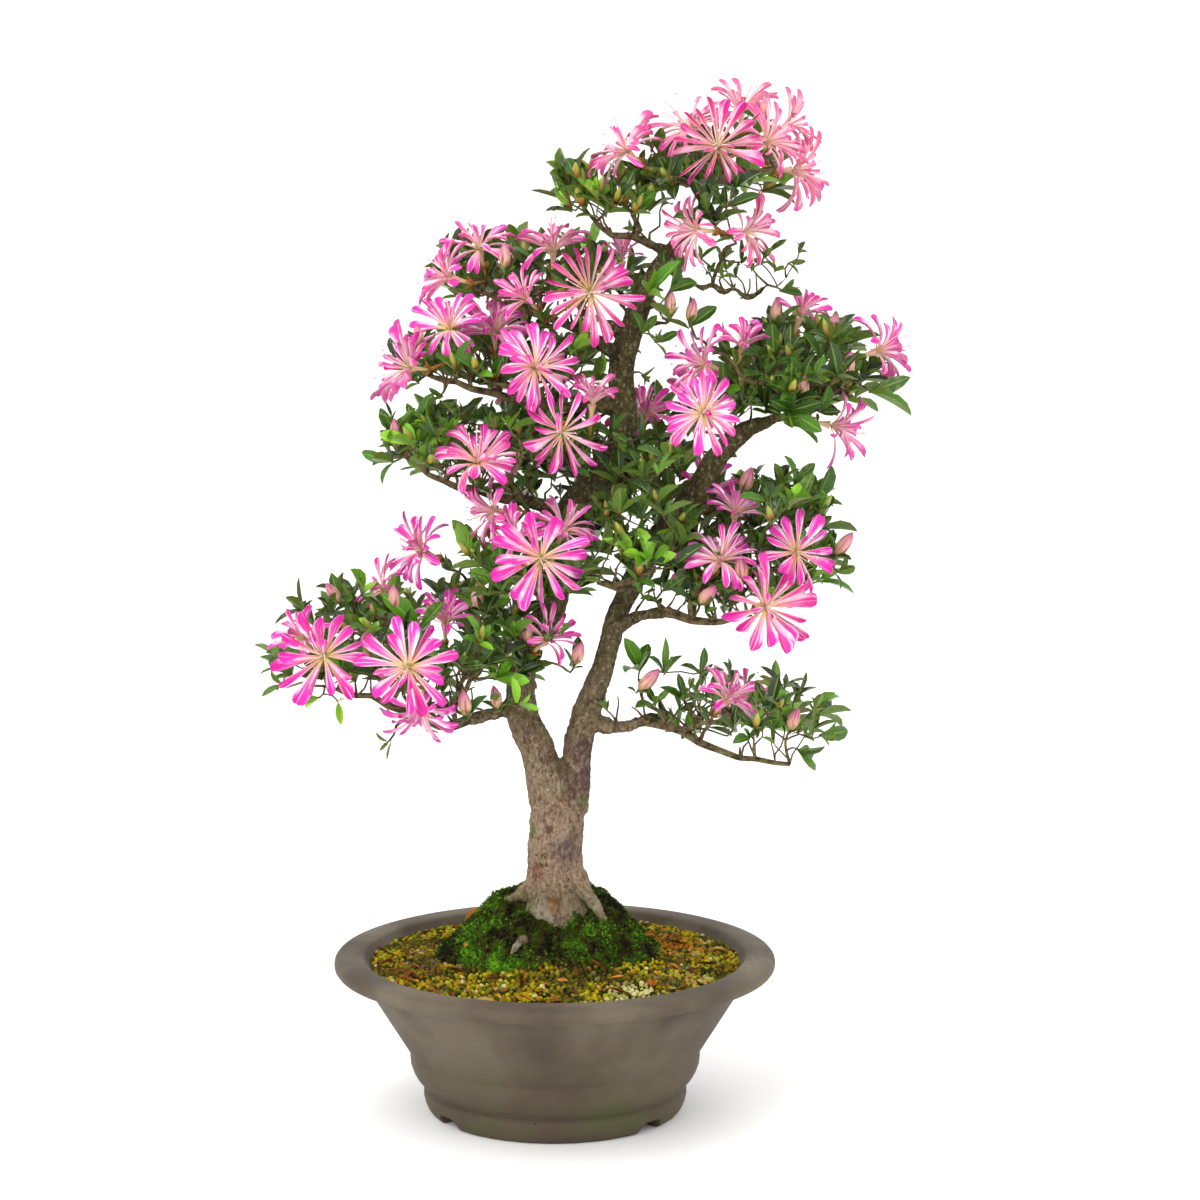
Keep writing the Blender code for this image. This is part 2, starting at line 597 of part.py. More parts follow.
def settle_bloom(index, bloom, owner, leader, space):
    """The first place near the bloom's own where it crosses nothing, or its own bunch at the stalk only."""
    for shift in (0, 7, -7, 14, -14, 21, -21, 28, -28, 35, -35):
        for twist in range(3):
            draw = random.Random(SEED * 1000 + index)
            found = bloom_solid(bloom, shift, math.radians(12 * twist), draw, leader)
            crossed = space.crossing(found[:1], None) or space.crossing(found[1:2], owner)
            if not crossed:
                return found
    print("bloom", index, bloom.px, bloom.py, "crosses", crossed)
    return found


def twig(start, radius, end, heading, sag, tail):
    """A tube that leaves the skeleton at start and reaches end along heading. tail holds stations past end."""
    span = (end - start).length
    first = start + Vector((0, 0, 1)) * span * 0.12 + (end - start) * 0.3
    second = end - heading * span * sag
    stations = []
    for t in (0, 0.5, 1) if span > LONG_TWIG else (0, 1):
        point = start * (1 - t) ** 3 + first * 3 * t * (1 - t) ** 2 + second * 3 * t * t * (1 - t) + end * t ** 3
        stations.append((point, radius + (TWIG_RADIUS - radius) * t))
    return tube(stations + tail, 4), stations


def grow(owner, skeleton, end, heading, tail, whorl, space):
    """Joins end to the nearest free place on the skeleton. whorl makes the leaves there, or is None."""
    near = sorted(skeleton, key=lambda station: (station[0] - end).length)
    for root, thickness in near[:20]:
        if (root - end).length < 5:
            continue
        for sag in (0.3, 0.5, 0.12, 0.75):
            radius = min(1.5, thickness * 0.7)
            stem, stations = twig(root, radius, end, heading, sag, tail)
            if space.crossing([stem], owner):
                continue
            leaves = whorl() if whorl else []
            skeleton += stations[1:-1]
            return [stem] + leaves
    return []


def make_whorl(owner, centre, axis, count, draw, space):
    """Leaves round a twig's end, turned or shortened until they cross nothing outside their node."""
    for attempt in range(8):
        shrink = 1 - 0.07 * attempt
        blades = [
            (draw.uniform(19, 31) * shrink, draw.uniform(18, 50), draw.uniform(8, 11.5) * shrink, 0.42)
            for _ in range(count)
        ]
        hub_radius = HUB_INNER_RADIUS / math.cos(math.pi / count)
        leaves = rosette(centre, axis, hub_radius, draw.uniform(0, math.tau), blades)
        if not space.crossing([leaves], owner):
            return [leaves]
    return []


def bud_tail(end, heading, length):
    share = length / BUD_LENGTH
    return [(end + heading * 8 * share, BUD_RADIUS * share), (end + heading * length, 0.5)]


def make_crown(collection, space):
    """Blooms first, then each pad's twigs, buds and leaves in the room that the blooms leave."""
    petal = material("petal")
    foliage = material("foliage")
    grown = {}
    for name, pad in PADS.items():
        meshes, skeleton = spine_tubes(pad)
        grown[name] = (meshes, skeleton)
        for mesh in meshes:
            space.add(name, mesh)
    bunches = []
    for index, bloom in enumerate(BLOOMS):
        leader = None if bloom.pad else bunches[-1][2]
        if bloom.pad:
            bunches.append((bloom.pad, [], None))
        pad, meshes, _ = bunches[-1]
        owner = f"bloom_{len(bunches):02d}"
        straps, stalk, joint = settle_bloom(index, bloom, owner, leader, space)
        space.add(owner, straps)
        space.add(owner, stalk)
        bunches[-1] = (pad, meshes + [straps, stalk], joint)
    draw = random.Random(SEED)

    def attach(owner, end, heading, tail, count, label):
        meshes, skeleton = grown[owner]
        whorl = (lambda: make_whorl(owner, end, heading, count, draw, space)) if count else None
        added = grow(owner, skeleton, end, heading, tail, whorl, space)
        if label and not added:
            print(owner, label, "has no free twig")
        for mesh in added:
            space.add(owner, mesh)
            meshes.append(mesh)
        return bool(added)

    for number, (pad, meshes, (joint, heading)) in enumerate(bunches, 1):
        union(f"bloom_{number:02d}", meshes, collection, petal)
        attach(pad, joint - heading * 2.5, heading, [(joint, TWIG_RADIUS)], 0, f"bloom {number}")
    for bud in BUDS:
        heading = facing(bud.side, bud.rise)
        end = at(bud.px, bud.py, bud.depth)
        leaves = 3 if bud.length >= LEAFY_BUD_LENGTH else 0
        attach(bud.pad, end, heading, bud_tail(end, heading, bud.length), leaves, f"bud {bud.px} {bud.py}")
    for name, pad in PADS.items():
        left, right, top, bottom, front, back = pad.volume
        middle = at((left + right) / 2, bottom, (front + back) / 2)
        made = 0
        for _ in range(60):
            if made == pad.whorls:
                break
            end = at(draw.uniform(left, right), draw.uniform(top, bottom), draw.uniform(front, back))
            heading = ((end - middle).normalized() + Vector((0, 0, 0.7))).normalized()
            if min((station[0] - end).length for station in grown[name][1]) > 45:
                continue
            made += attach(name, end, heading, [(end + heading, TWIG_RADIUS)], 4, "")
        print(name, "whorls", made)
        union("foliage_" + name, grown[name][0], collection, foliage)


def main():
    clear_scene()
    collection = new_collection("satsuki_azalea_bonsai")
    cutters = new_collection("cutters", hidden=True)
    space = Space()
    make_pot(collection, cutters)
    space.add("soil", make_soil(collection).data)
    make_moss(collection)
    make_wood(collection, space)
    make_crown(collection, space)


main()
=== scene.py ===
# %% [markdown]
# # A satsuki azalea bonsai in its stoneware pot
# The imported model holds plain solids for everything that the tree is made of: a turned pot, soil, a moss mound, tubes
# of wood, and flat blades for petals and leaves. The cells below dress them one after the other. Every new piece is
# made where its solid stands, so the first step is to load the imported model and keep its solids by name.

# %% Load the imported model
import json
import math
import random
from collections import namedtuple
from functools import partial

import bmesh
import bpy
from mathutils import Matrix, Vector, noise
from mathutils.kdtree import KDTree

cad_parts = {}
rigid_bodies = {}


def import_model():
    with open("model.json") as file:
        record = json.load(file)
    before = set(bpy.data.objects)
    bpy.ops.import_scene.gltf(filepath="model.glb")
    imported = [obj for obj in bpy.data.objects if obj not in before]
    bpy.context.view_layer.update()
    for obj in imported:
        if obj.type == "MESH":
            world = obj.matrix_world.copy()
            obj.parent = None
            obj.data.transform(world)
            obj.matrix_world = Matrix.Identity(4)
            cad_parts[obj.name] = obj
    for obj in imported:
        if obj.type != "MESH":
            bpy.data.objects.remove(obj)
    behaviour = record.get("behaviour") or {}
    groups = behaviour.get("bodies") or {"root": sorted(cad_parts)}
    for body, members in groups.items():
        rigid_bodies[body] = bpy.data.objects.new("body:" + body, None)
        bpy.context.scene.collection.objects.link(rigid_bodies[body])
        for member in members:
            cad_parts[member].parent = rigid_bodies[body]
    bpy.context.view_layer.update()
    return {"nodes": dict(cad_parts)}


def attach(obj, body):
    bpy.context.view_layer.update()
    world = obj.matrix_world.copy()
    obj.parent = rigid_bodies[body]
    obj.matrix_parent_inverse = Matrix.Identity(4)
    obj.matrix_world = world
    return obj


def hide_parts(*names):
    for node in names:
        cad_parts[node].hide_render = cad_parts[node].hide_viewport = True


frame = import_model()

MM = 0.001

# %% [markdown]
# ## Places on the tree
# A bonsai can't be measured part by part, but its photograph can be read. A camera that sees the pot's lip where the
# photograph shows it also turns any pixel and a depth into a point, so branches, blooms and buds are listed by pixel
# x, pixel y and depth. Depth is in millimetres behind the trunk, and less than zero is towards the camera.

# %% A pixel and a depth become a point
POT_X = -23
PHOTO_CENTRE = 600
FOCAL_PIXELS = 2833.3
CAMERA_PLACE = Vector((POT_X + 30.7, -1889, 588.7))
CAMERA_PITCH = math.radians(7.2)


def at(px, py, depth):
    """The point in millimetres that the photograph shows at a pixel, at a depth behind the pot's axis."""
    ahead = Vector((0, math.cos(CAMERA_PITCH), -math.sin(CAMERA_PITCH)))
    up = Vector((0, math.sin(CAMERA_PITCH), math.cos(CAMERA_PITCH)))
    ray = ahead + Vector((1, 0, 0)) * (px - PHOTO_CENTRE) / FOCAL_PIXELS + up * (PHOTO_CENTRE - py) / FOCAL_PIXELS
    return CAMERA_PLACE + ray * (depth - CAMERA_PLACE.y) / ray.y


def facing(side, rise):
    """The unit vector that looks side degrees to the right of the camera's own direction and rise degrees up."""
    side, rise = math.radians(side), math.radians(rise)
    return Vector((math.sin(side) * math.cos(rise), -math.cos(side) * math.cos(rise), math.sin(rise)))


def pixel_of(point):
    """The pixel that shows a point given in millimetres."""
    away = point - CAMERA_PLACE
    ahead = away.y * math.cos(CAMERA_PITCH) - away.z * math.sin(CAMERA_PITCH)
    up = away.y * math.sin(CAMERA_PITCH) + away.z * math.cos(CAMERA_PITCH)
    return PHOTO_CENTRE + FOCAL_PIXELS * away.x / ahead, PHOTO_CENTRE - FOCAL_PIXELS * up / ahead


# %% [markdown]
# ## The tree's own lists
# These lists are the tree's plan, and the solids were built from the same numbers. A stem is a run of stations with
# their radii. A pad is one cloud of foliage: the limb that carries it, its own branches, and the room that it fills.
# A bloom has a place, the way it looks, the length of its straps and how far they are cupped.

# %% Stems, pads, blooms and buds
# A volume is the pixels at its left, right, top and bottom, and its depth in front and behind
Pad = namedtuple("Pad", "limb spines volume")
Bloom = namedtuple("Bloom", "pad px py depth side rise length cup")
# Each point is pixel x, pixel y, depth and radius, the last two in millimetres
LEFT_STEM = [
    (552, 812, 0, 12), (547, 790, 0, 12.8), (543, 768, 0, 12.4), (534, 742, 0, 11.4), (523, 715, 1, 10.8),
    (521, 680, 3, 9.8), (530, 640, 5, 9.4), (552, 606, 6, 9.4), (563, 560, 4, 9.8), (572, 515, 2, 11.8),
    (597, 489, 0, 13), (618, 466, 0, 11), (624, 420, 0, 9.4), (621, 372, 2, 8.6), (632, 326, 3, 8), (650, 283, 4, 7),
    (676, 248, 5, 6), (700, 212, 5, 4.6),
]
RIGHT_STEM = [
    (573, 812, 0, 10), (576, 768, -1, 10.4), (580, 738, -2, 9.6), (589, 705, -1, 8.8), (602, 670, 1, 7.8),
    (613, 630, 3, 7.2), (628, 590, 4, 7.6), (648, 552, 3, 8.2), (672, 522, 1, 8.6), (695, 496, 0, 8.2),
    (713, 464, 0, 7.8), (730, 443, 0, 7.2), (750, 428, 0, 5.8), (768, 422, 0, 4.6),
]
TRUNK_TOP = [(557, 915, 0, 25.5), (557, 900, 0, 21), (557, 882, 0, 18.8), (555, 850, 0, 18.4), (558, 815, 0, 17.6),
             (560, 790, 4, 12)]
UNDER_APEX_TWIG = [
    (668, 262, 5, 3), (680, 279, -1, 2.4), (690, 282, -5, 2), (702, 288, -7, 2), (712, 285, -8, 1.8),
    (724, 292, -9, 1.8), (734, 289, -8, 1.6), (746, 297, -7, 1.6), (757, 294, -6, 1.4), (768, 285, -4, 1.2),
    (777, 286, -3, 1), (786, 278, -2, 0.9),
]
ROOT_RIDGES = ((-95, 27), (-40, 24), (12, 25), (68, 27), (130, 25), (190, 26))

PADS = {
    "apex": Pad([(690, 228, 5, 4.5), (706, 200, 4, 4.2)], [
        [(715, 180, 0, 3.6), (728, 168, -3, 3), (752, 172, -2, 2.6), (775, 168, 2, 2.2)],
        [(712, 178, 4, 2.6), (690, 165, 8, 2.2), (665, 158, 5, 2)],
        [(722, 172, 8, 2.4), (735, 150, 34, 2.2), (745, 140, 56, 1.9)]
    ], (640, 790, 130, 210, -50, 90)),
    "apex_left": Pad([(672, 254, 5, 4.5), (650, 244, 2, 4)], [
        [(632, 236, 0, 3.4), (612, 235, -4, 2.8), (596, 222, -8, 2.2)], [(640, 230, -6, 2.6), (632, 214, -12, 2)]
    ], (555, 665, 165, 230, -35, 35)),
    "high_left": Pad([(622, 356, 2, 6), (603, 346, 4, 5.2), (584, 334, 6, 4.6)], [
        [(560, 322, 8, 3.8), (530, 312, 10, 3.2), (495, 297, 10, 2.5), (470, 288, 8, 2)],
        [(575, 326, -6, 2.8), (580, 312, -20, 2.2)], [(540, 312, 34, 2.6), (520, 296, 72, 2)]
    ], (440, 640, 245, 315, -50, 105)),
    "upper_left": Pad([(622, 408, 0, 6.5), (592, 405, -5, 5.8), (565, 408, -8, 5)], [
        [(530, 402, -10, 4.4), (492, 393, -12, 3.6), (456, 382, -14, 2.8), (430, 376, -16, 2.2)],
        [(520, 398, -24, 2.6), (505, 385, -42, 2)], [(500, 390, 20, 2.6), (480, 374, 62, 2)]
    ], (400, 600, 325, 400, -60, 95)),
    "mid_left": Pad([(570, 520, 2, 8), (546, 507, -8, 6.4), (524, 500, -16, 5.4)], [
        [(496, 497, -20, 4.2), (458, 487, -24, 3.4), (428, 474, -26, 2.6), (404, 455, -26, 2)],
        [(500, 490, -38, 2.6), (510, 475, -54, 2)], [(480, 486, 14, 2.6), (466, 470, 58, 2)]
    ], (395, 580, 415, 490, -70, 90)),
    "centre": Pad([(556, 600, 5, 6), (545, 596, -14, 4.8), (540, 592, -28, 4.2)], [
        [(530, 588, -42, 3.4), (520, 575, -52, 2.6), (512, 562, -50, 2)], [(548, 586, -46, 2.8), (556, 572, -58, 2.2)]
    ], (470, 600, 500, 610, -85, -5)),
    "heart": Pad([(632, 584, 3, 5), (624, 587, -14, 4.4), (620, 588, -26, 4)], [
        [(612, 586, -36, 3.2), (598, 582, -44, 2.4)], [(632, 580, -38, 2.8), (650, 572, -46, 2.2)]
    ], (600, 705, 445, 592, -64, 20)),
    "lower_left": Pad([(518, 704, 2, 7), (496, 713, -8, 6), (468, 720, -18, 5.2)], [
        [(440, 726, -26, 4.4), (408, 712, -32, 3.6), (372, 696, -36, 2.8), (338, 690, -38, 2.2)],
        [(428, 706, 10, 3.2), (392, 682, 50, 2.6), (360, 658, 74, 2)], [(452, 706, -40, 2.8), (470, 680, -50, 2.2)],
        [(456, 704, 20, 2.8), (468, 672, 60, 2.2)]
    ], (280, 540, 590, 712, -80, 110)),
    "right_upper": Pad([(758, 425, 0, 4.6), (776, 418, -2, 4)], [
        [(798, 414, -4, 3.4), (822, 404, -5, 2.8), (845, 385, -4, 2.2)],
        [(790, 402, 4, 3), (786, 380, 8, 2.6), (780, 358, 8, 2.2)],
        [(792, 400, -18, 2.6), (770, 385, -34, 2.2), (740, 375, -36, 1.9)], [(800, 398, 34, 2.6), (806, 372, 76, 2)]
    ], (726, 870, 325, 416, -60, 100)),
    "right_mid": Pad([(613, 630, 0, 6), (636, 617, -10, 5.4), (664, 612, -18, 5)], [
        [(692, 620, -22, 4), (716, 622, -26, 3.2), (742, 616, -28, 2.4)],
        [(694, 604, -10, 3), (712, 580, 4, 2.6), (745, 560, 8, 2.2), (785, 575, 6, 1.9)],
        [(690, 606, -34, 2.6), (700, 588, -46, 2)], [(716, 570, 22, 2.4), (740, 530, 50, 2.2), (768, 510, 66, 1.9)]
    ], (670, 830, 480, 605, -65, 95)),
    "lower_right": Pad([(591, 722, -2, 6.6), (618, 727, -8, 5.8), (646, 721, -12, 5.2)], [
        [(682, 731, -15, 4.2), (716, 749, -18, 3.2), (756, 759, -20, 2.5), (790, 764, -22, 2)],
        [(690, 724, 12, 2.8), (710, 714, 46, 2.2), (740, 712, 72, 1.9)], [(690, 728, -30, 2.6), (715, 722, -44, 2)]
    ], (660, 830, 680, 745, -65, 100)),
    "back": Pad([(618, 470, 4, 8), (612, 462, 26, 6.4), (604, 452, 50, 5.4)], [
        [(594, 440, 72, 4.2), (565, 425, 94, 3.2), (535, 405, 108, 2.4)],
        [(628, 446, 74, 3.4), (672, 438, 96, 2.6), (705, 420, 106, 2)],
        [(598, 470, 84, 3.4), (580, 520, 106, 2.8), (556, 560, 112, 2.2)],
        [(636, 480, 84, 3), (670, 530, 106, 2.6), (700, 570, 110, 2)]
    ], (510, 720, 400, 590, 60, 125)),
}

# Each row is a bloom's pixel, depth, side, rise, length and cup. A list is a bunch on the stalk of its first bloom
BLOOM_ROWS = [
    ("apex", (628, 152, -12, -60, 35, 28, 30), (690, 130, 28, -45, 60, 28, 25),
     [(741, 114, 24, 10, 80, 25, 55), (786, 126, 44, 80, 25, 23, 50), (792, 170, 14, 85, 0, 27, 40)],
     [(718, 147, -34, -5, 15, 29, 15), (765, 143, -14, 60, 20, 27, 40)],
     [(699, 231, -26, -75, 0, 26, 40), (742, 232, -12, 70, 10, 26, 48)]),
    ("high_left", [(480, 250, 8, -20, 60, 25, 45), (452, 278, -5, -85, 15, 25, 55)], (553, 252, 20, 5, 75, 25, 50),
     [(528, 300, -24, -40, 35, 22, 55), (590, 292, -44, 5, 5, 30, 12)], (622, 262, 38, 0, 60, 18, 65)),
    ("upper_left", [(450, 330, -18, -20, 50, 25, 42), (410, 368, -28, -60, 5, 28, 20)], (495, 335, 10, 0, 60, 27, 48),
     (535, 368, -52, 25, 15, 29, 25), (592, 405, -34, 10, 70, 20, 65)),
    ("mid_left", (478, 464, -44, 5, 50, 27, 40), (562, 432, -64, 5, -15, 26, 18), (499, 512, -34, -80, -5, 26, 52)),
    ("centre", [(520, 537, -44, -30, 35, 22, 62), (563, 533, -36, 35, 50, 24, 58)], (541, 558, -82, 0, 5, 30, 12),
     (545, 642, -40, 50, 35, 22, 62)),
    ("back", (644, 418, 40, 10, 55, 26, 48)),
    ("right_upper", [(707, 365, -20, -75, 20, 26, 52), (742, 350, -14, 25, 60, 20, 70)],
     (703, 413, -54, 10, 15, 26, 32), (876, 352, 0, 80, 15, 26, 48), (830, 425, -8, 80, -10, 26, 66),
     (800, 318, 14, 35, 60, 20, 66)),
    ("right_mid", (706, 495, 26, -10, 70, 24, 48), (735, 515, -14, 20, 65, 22, 62), (720, 562, -40, 30, 45, 27, 42),
     (797, 552, -32, 15, 10, 26, 15), (765, 607, -56, 25, 5, 30, 20)),
    ("lower_left", (425, 552, 12, -65, 25, 27, 46), (385, 590, 14, -60, 40, 21, 58), (324, 656, -66, -10, 5, 30, 12),
     [(408, 667, -78, 5, 10, 30, 15), (421, 706, -52, -15, -65, 26, 44)], (305, 640, 0, -40, 50, 22, 52),
     (445, 625, -10, 0, 75, 25, 56)),
    ("lower_right", (725, 702, -24, 50, 45, 24, 52)),
    ("back", (528, 392, 118, 195, 25, 28, 20), (706, 404, 116, 160, 30, 28, 20), (560, 560, 124, 190, 5, 28, 18),
     (706, 572, 120, 150, 10, 27, 22)),
    ("high_left", (515, 285, 98, 200, 35, 27, 25)),
    ("lower_left", (385, 640, 106, 200, 25, 28, 22)),
    ("lower_right", (745, 700, 98, 160, 30, 26, 28)),
]
BLOOMS = [
    Bloom(None if number else pad, *row) for pad, *bunches in BLOOM_ROWS for bunch in bunches
    for number, row in enumerate(bunch if isinstance(bunch, list) else [bunch])
]
# Each row is a bud's pixel, depth, side, rise and length
BUDS = {
    "mid_left": [(397, 447, -26, -15, 75, 20)],
    "lower_left": [(478, 612, -30, 5, 85, 20), (395, 612, -30, -10, 80, 19), (466, 715, -44, -15, 70, 19),
        (498, 708, -34, -30, 70, 17), (525, 642, -34, 10, 70, 19), (339, 602, -24, -40, 50, 18)],
    "heart": [(638, 575, -46, 20, 70, 15)],
    "lower_right": [(640, 690, -20, 55, 45, 22), (790, 730, -24, 30, 60, 19)],
    "high_left": [(505, 268, -12, -5, 85, 17), (670, 314, -20, 0, 80, 17)],
    "right_upper": [(690, 322, -10, 25, 70, 17), (776, 322, 6, 10, 80, 17), (831, 338, -14, 20, 65, 18),
        (846, 378, -26, 25, 70, 19), (803, 398, -36, 5, 85, 18)],
    "right_mid": [(836, 555, -10, 50, 50, 21), (700, 603, -40, 40, 40, 20), (743, 492, -6, 30, 60, 20),
        (742, 582, -44, -10, 70, 20)],
    "apex": [(765, 118, -6, 15, 80, 17)],
    "apex_left": [(625, 205, -16, -10, 75, 15), (650, 205, -8, 10, 75, 15), (583, 205, -12, -40, 60, 15)],
    "centre": [(575, 664, -26, 30, 60, 19)],
    "upper_left": [(421, 348, -24, -30, 70, 17)],
}


def stations_at(rows):
    return [(at(px, py, depth), radius) for px, py, depth, radius in rows]


SLIMMER = 0.76


def slender(rows):
    """A limb or branch, slimmed beyond its root to the thickness that the photograph shows."""
    return [(place, radius * (SLIMMER if i else 1)) for i, (place, radius) in enumerate(stations_at(rows))]


print("pads", len(PADS), "blooms", len(BLOOMS), "buds", sum(map(len, BUDS.values())))

# %% [markdown]
# ## Small helpers
# Colours are read off real things as sRGB hex codes, and the renderer counts in linear light, so one function turns
# them. A second one adds a node with its settings and links, for materials and for Geometry Nodes alike. A third one
# runs a tree of Geometry Nodes over a mesh and keeps the result as a plain mesh, because the finished model can't
# hold live instances.

# %% Colour and node helpers
PREFIXES = ("ShaderNode", "GeometryNode", "FunctionNode", "Node")
MODES = ("operation", "interpolation_type", "data_type", "distribute_method", "spline_type", "rotation_space",
         "uv_map", "attribute_name")
SHADING = ("Roughness", "Specular IOR Level", "Subsurface Weight", "Subsurface Scale")


def linear(code):
    parts = [int(code[i:i + 2], 16) / 255 for i in (1, 3, 5)]
    return tuple(c / 12.92 if c <= 0.04045 else ((c + 0.055) / 1.055) ** 2.4 for c in parts) + (1,)


def fill(tree, socket, value):
    """Sets an input to a value or a hex code, or links it to a socket or to a node's first open output."""
    if isinstance(value, bpy.types.Node):
        value = next(output for output in value.outputs if output.enabled)
    if isinstance(value, bpy.types.NodeSocket):
        tree.links.new(value, socket)
    elif value is not None:
        coded = isinstance(value, str) and value.startswith("#")
        socket.default_value = linear(value) if coded else value


def add_node(tree, kind, *values, stops=None, **named):
    """Adds a node, in the mode that a second word of kind says, and fills its open inputs in order, or by name.

    None leaves an input as it is. Stops are a colour ramp's places and hex codes.
    """
    kind, _, mode = kind.partition(" ")
    node = tree.nodes.new(next(start + kind for start in PREFIXES if hasattr(bpy.types, start + kind)))
    if mode:
        setattr(node, next(setting for setting in MODES if hasattr(node, setting)), mode)
    for socket, value in zip([socket for socket in node.inputs if socket.enabled], values):
        fill(tree, socket, value)
    for label, value in named.items():
        fill(tree, node.inputs[label], value)
    if stops:
        knots = node.color_ramp.elements
        for knot, (place, code) in zip(knots, (stops[0], stops[-1])):
            knot.position, knot.color = place, linear(code)
        for place, code in stops[1:-1]:
            knots.new(place).color = linear(code)
    return node


def finish_of(name, shading, relief, paint, *choices):
    """A material with constants on its shader's own sockets, and colour and height from its paint.

    Relief is how strong its bump is, and how deep in metres.
    """
    made = bpy.data.materials.new(name)
    made.use_nodes = True
    tree = made.node_tree
    sockets = tree.nodes["Principled BSDF"].inputs
    for label, value in zip(SHADING, shading):
        fill(tree, sockets[label], value)
    colour, height = paint(partial(add_node, tree), *choices)
    fill(tree, sockets["Base Color"], colour)
    if relief:
        fill(tree, sockets["Normal"], add_node(tree, "Bump", *relief, Height=height))
    print("finish", name)
    return made


# %% Mesh helpers
def having(thing, **settings):
    """Gives a thing its settings and hands it back."""
    for setting, value in settings.items():
        setattr(thing, setting, value)
    return thing


def mesh_of(name, points, faces=(), edges=()):
    made = bpy.data.meshes.new(name)
    made.from_pydata(points, edges, faces)
    return made


def object_of(name, mesh):
    made = bpy.data.objects.new(name, mesh)
    bpy.context.scene.collection.objects.link(made)
    return made


def plain_mesh(host):
    """The evaluated mesh of an object, which is then removed with its modifiers."""
    graph = bpy.context.evaluated_depsgraph_get()
    mesh = bpy.data.meshes.new_from_object(host.evaluated_get(graph))
    bpy.data.objects.remove(host)
    return mesh


def outward(mesh, merge=0):
    """Turns every face of a closed mesh outwards, once points nearer than merge are one."""
    bm = bmesh.new()
    bm.from_mesh(mesh)
    if merge:
        bmesh.ops.remove_doubles(bm, verts=bm.verts, dist=merge)
    bmesh.ops.recalc_face_normals(bm, faces=bm.faces)
    bm.to_mesh(mesh)
    bm.free()
    return mesh


def only_finish(mesh, finish):
    mesh.materials.clear()
    mesh.materials.append(finish)
    return mesh


def set_marks(mesh, label, values, domain="POINT", kind="FLOAT"):
    """Stores one value for each point or face under a name that a tree or a material reads."""
    marks = mesh.attributes.new(label, kind, domain)
    if kind == "FLOAT_VECTOR":
        marks.data.foreach_set("vector", [c for value in values for c in value])
    else:
        marks.data.foreach_set("value", values)


def joined(name, meshes, crease=50):
    """One object from several meshes, smooth but for its creases."""
    parts = [object_of(name, mesh) for mesh in meshes]
    if len(parts) > 1:
        with bpy.context.temp_override(active_object=parts[0], selected_editable_objects=parts):
            bpy.ops.object.join()
    parts[0].data.name = name
    parts[0].data.shade_smooth()
    parts[0].data.set_sharp_from_angle(angle=math.radians(crease))
    return parts[0]


def placed(piece, slot, *nodes):
    """Rides a finished piece on the one body and hides the nodes that it stands for."""
    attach(piece, "root")
    if nodes:
        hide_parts(*nodes)
    triangles = sum(len(face.vertices) - 2 for face in piece.data.polygons)
    print(piece.name, triangles, "triangles")
    return piece


def clamped(value):
    return min(1, max(0, value))


def jolt(draw, most):
    return Vector([draw.uniform(-most, most) for _ in range(3)])


def way(angle):
    """The level unit vector at an angle in radians."""
    return Vector((math.cos(angle), math.sin(angle), 0))


# %% [markdown]
# ## Trees that repeat a shape
# Petal straps, leaves, buds and anthers are each a few shapes repeated hundreds of times. Modelling each one by hand
# would be endless, so a planting tree puts a shape on every point of a cloud. Where, how it is turned, how large and
# which one are worked out in the script and carried by the points, so a bloom keeps the plan that its solid has.

# %% A tree that plants shapes on points
SCRATCH_MARKS = ("turn", "size", "pick", "radius", "cover")


def new_tree(name, sizes):
    """An empty tree of Geometry Nodes with named inputs, the call that adds its nodes, and what it is given."""
    tree = bpy.data.node_groups.new(name, "GeometryNodeTree")
    tree.interface.new_socket("Geometry", in_out="INPUT", socket_type="NodeSocketGeometry")
    for label, value in sizes.items():
        kind = "NodeSocketInt" if isinstance(value, int) else "NodeSocketFloat"
        tree.interface.new_socket(label, in_out="INPUT", socket_type=kind).default_value = value
    tree.interface.new_socket("Geometry", in_out="OUTPUT", socket_type="NodeSocketGeometry")
    return tree, partial(add_node, tree), add_node(tree, "GroupInput").outputs


def ended(tree, shapes, finish):
    """Ends a tree: its shapes are made real, take their finish and go out."""
    real = add_node(tree, "RealizeInstances", shapes)
    add_node(tree, "GroupOutput", add_node(tree, "SetMaterial", real, Material=finish))
    print("tree", tree.name)
    return tree


def grown(name, mesh, tree, **sizes):
    """Runs a tree over a mesh with its named sizes set, and returns the plain mesh."""
    host = object_of(name, mesh)
    modifier = having(host.modifiers.new("grow", "NODES"), node_group=tree)
    for socket in tree.interface.items_tree:
        if socket.in_out == "INPUT" and socket.name in sizes:
            modifier[socket.identifier] = sizes[socket.name]
    result = plain_mesh(host)
    for label in SCRATCH_MARKS:
        if label in result.attributes:
            result.attributes.remove(result.attributes[label])
    return result


def planting_tree(name, shapes, finish):
    tree, add, given = new_tree(name, {"Size": 1.0})
    rotation = add("EulerToRotation", add("InputNamedAttribute FLOAT_VECTOR", "turn"))
    scale = add("VectorMath SCALE", add("InputNamedAttribute FLOAT_VECTOR", "size"), given["Size"])
    pick = add("InputNamedAttribute INT", "pick")
    kinds = add("CollectionInfo", shapes, True, True)
    standing = add("InstanceOnPoints", given["Geometry"], None, kinds, True, pick, rotation, scale)
    return ended(tree, standing, finish)


Planting = namedtuple("Planting", "place turn size pick tint")


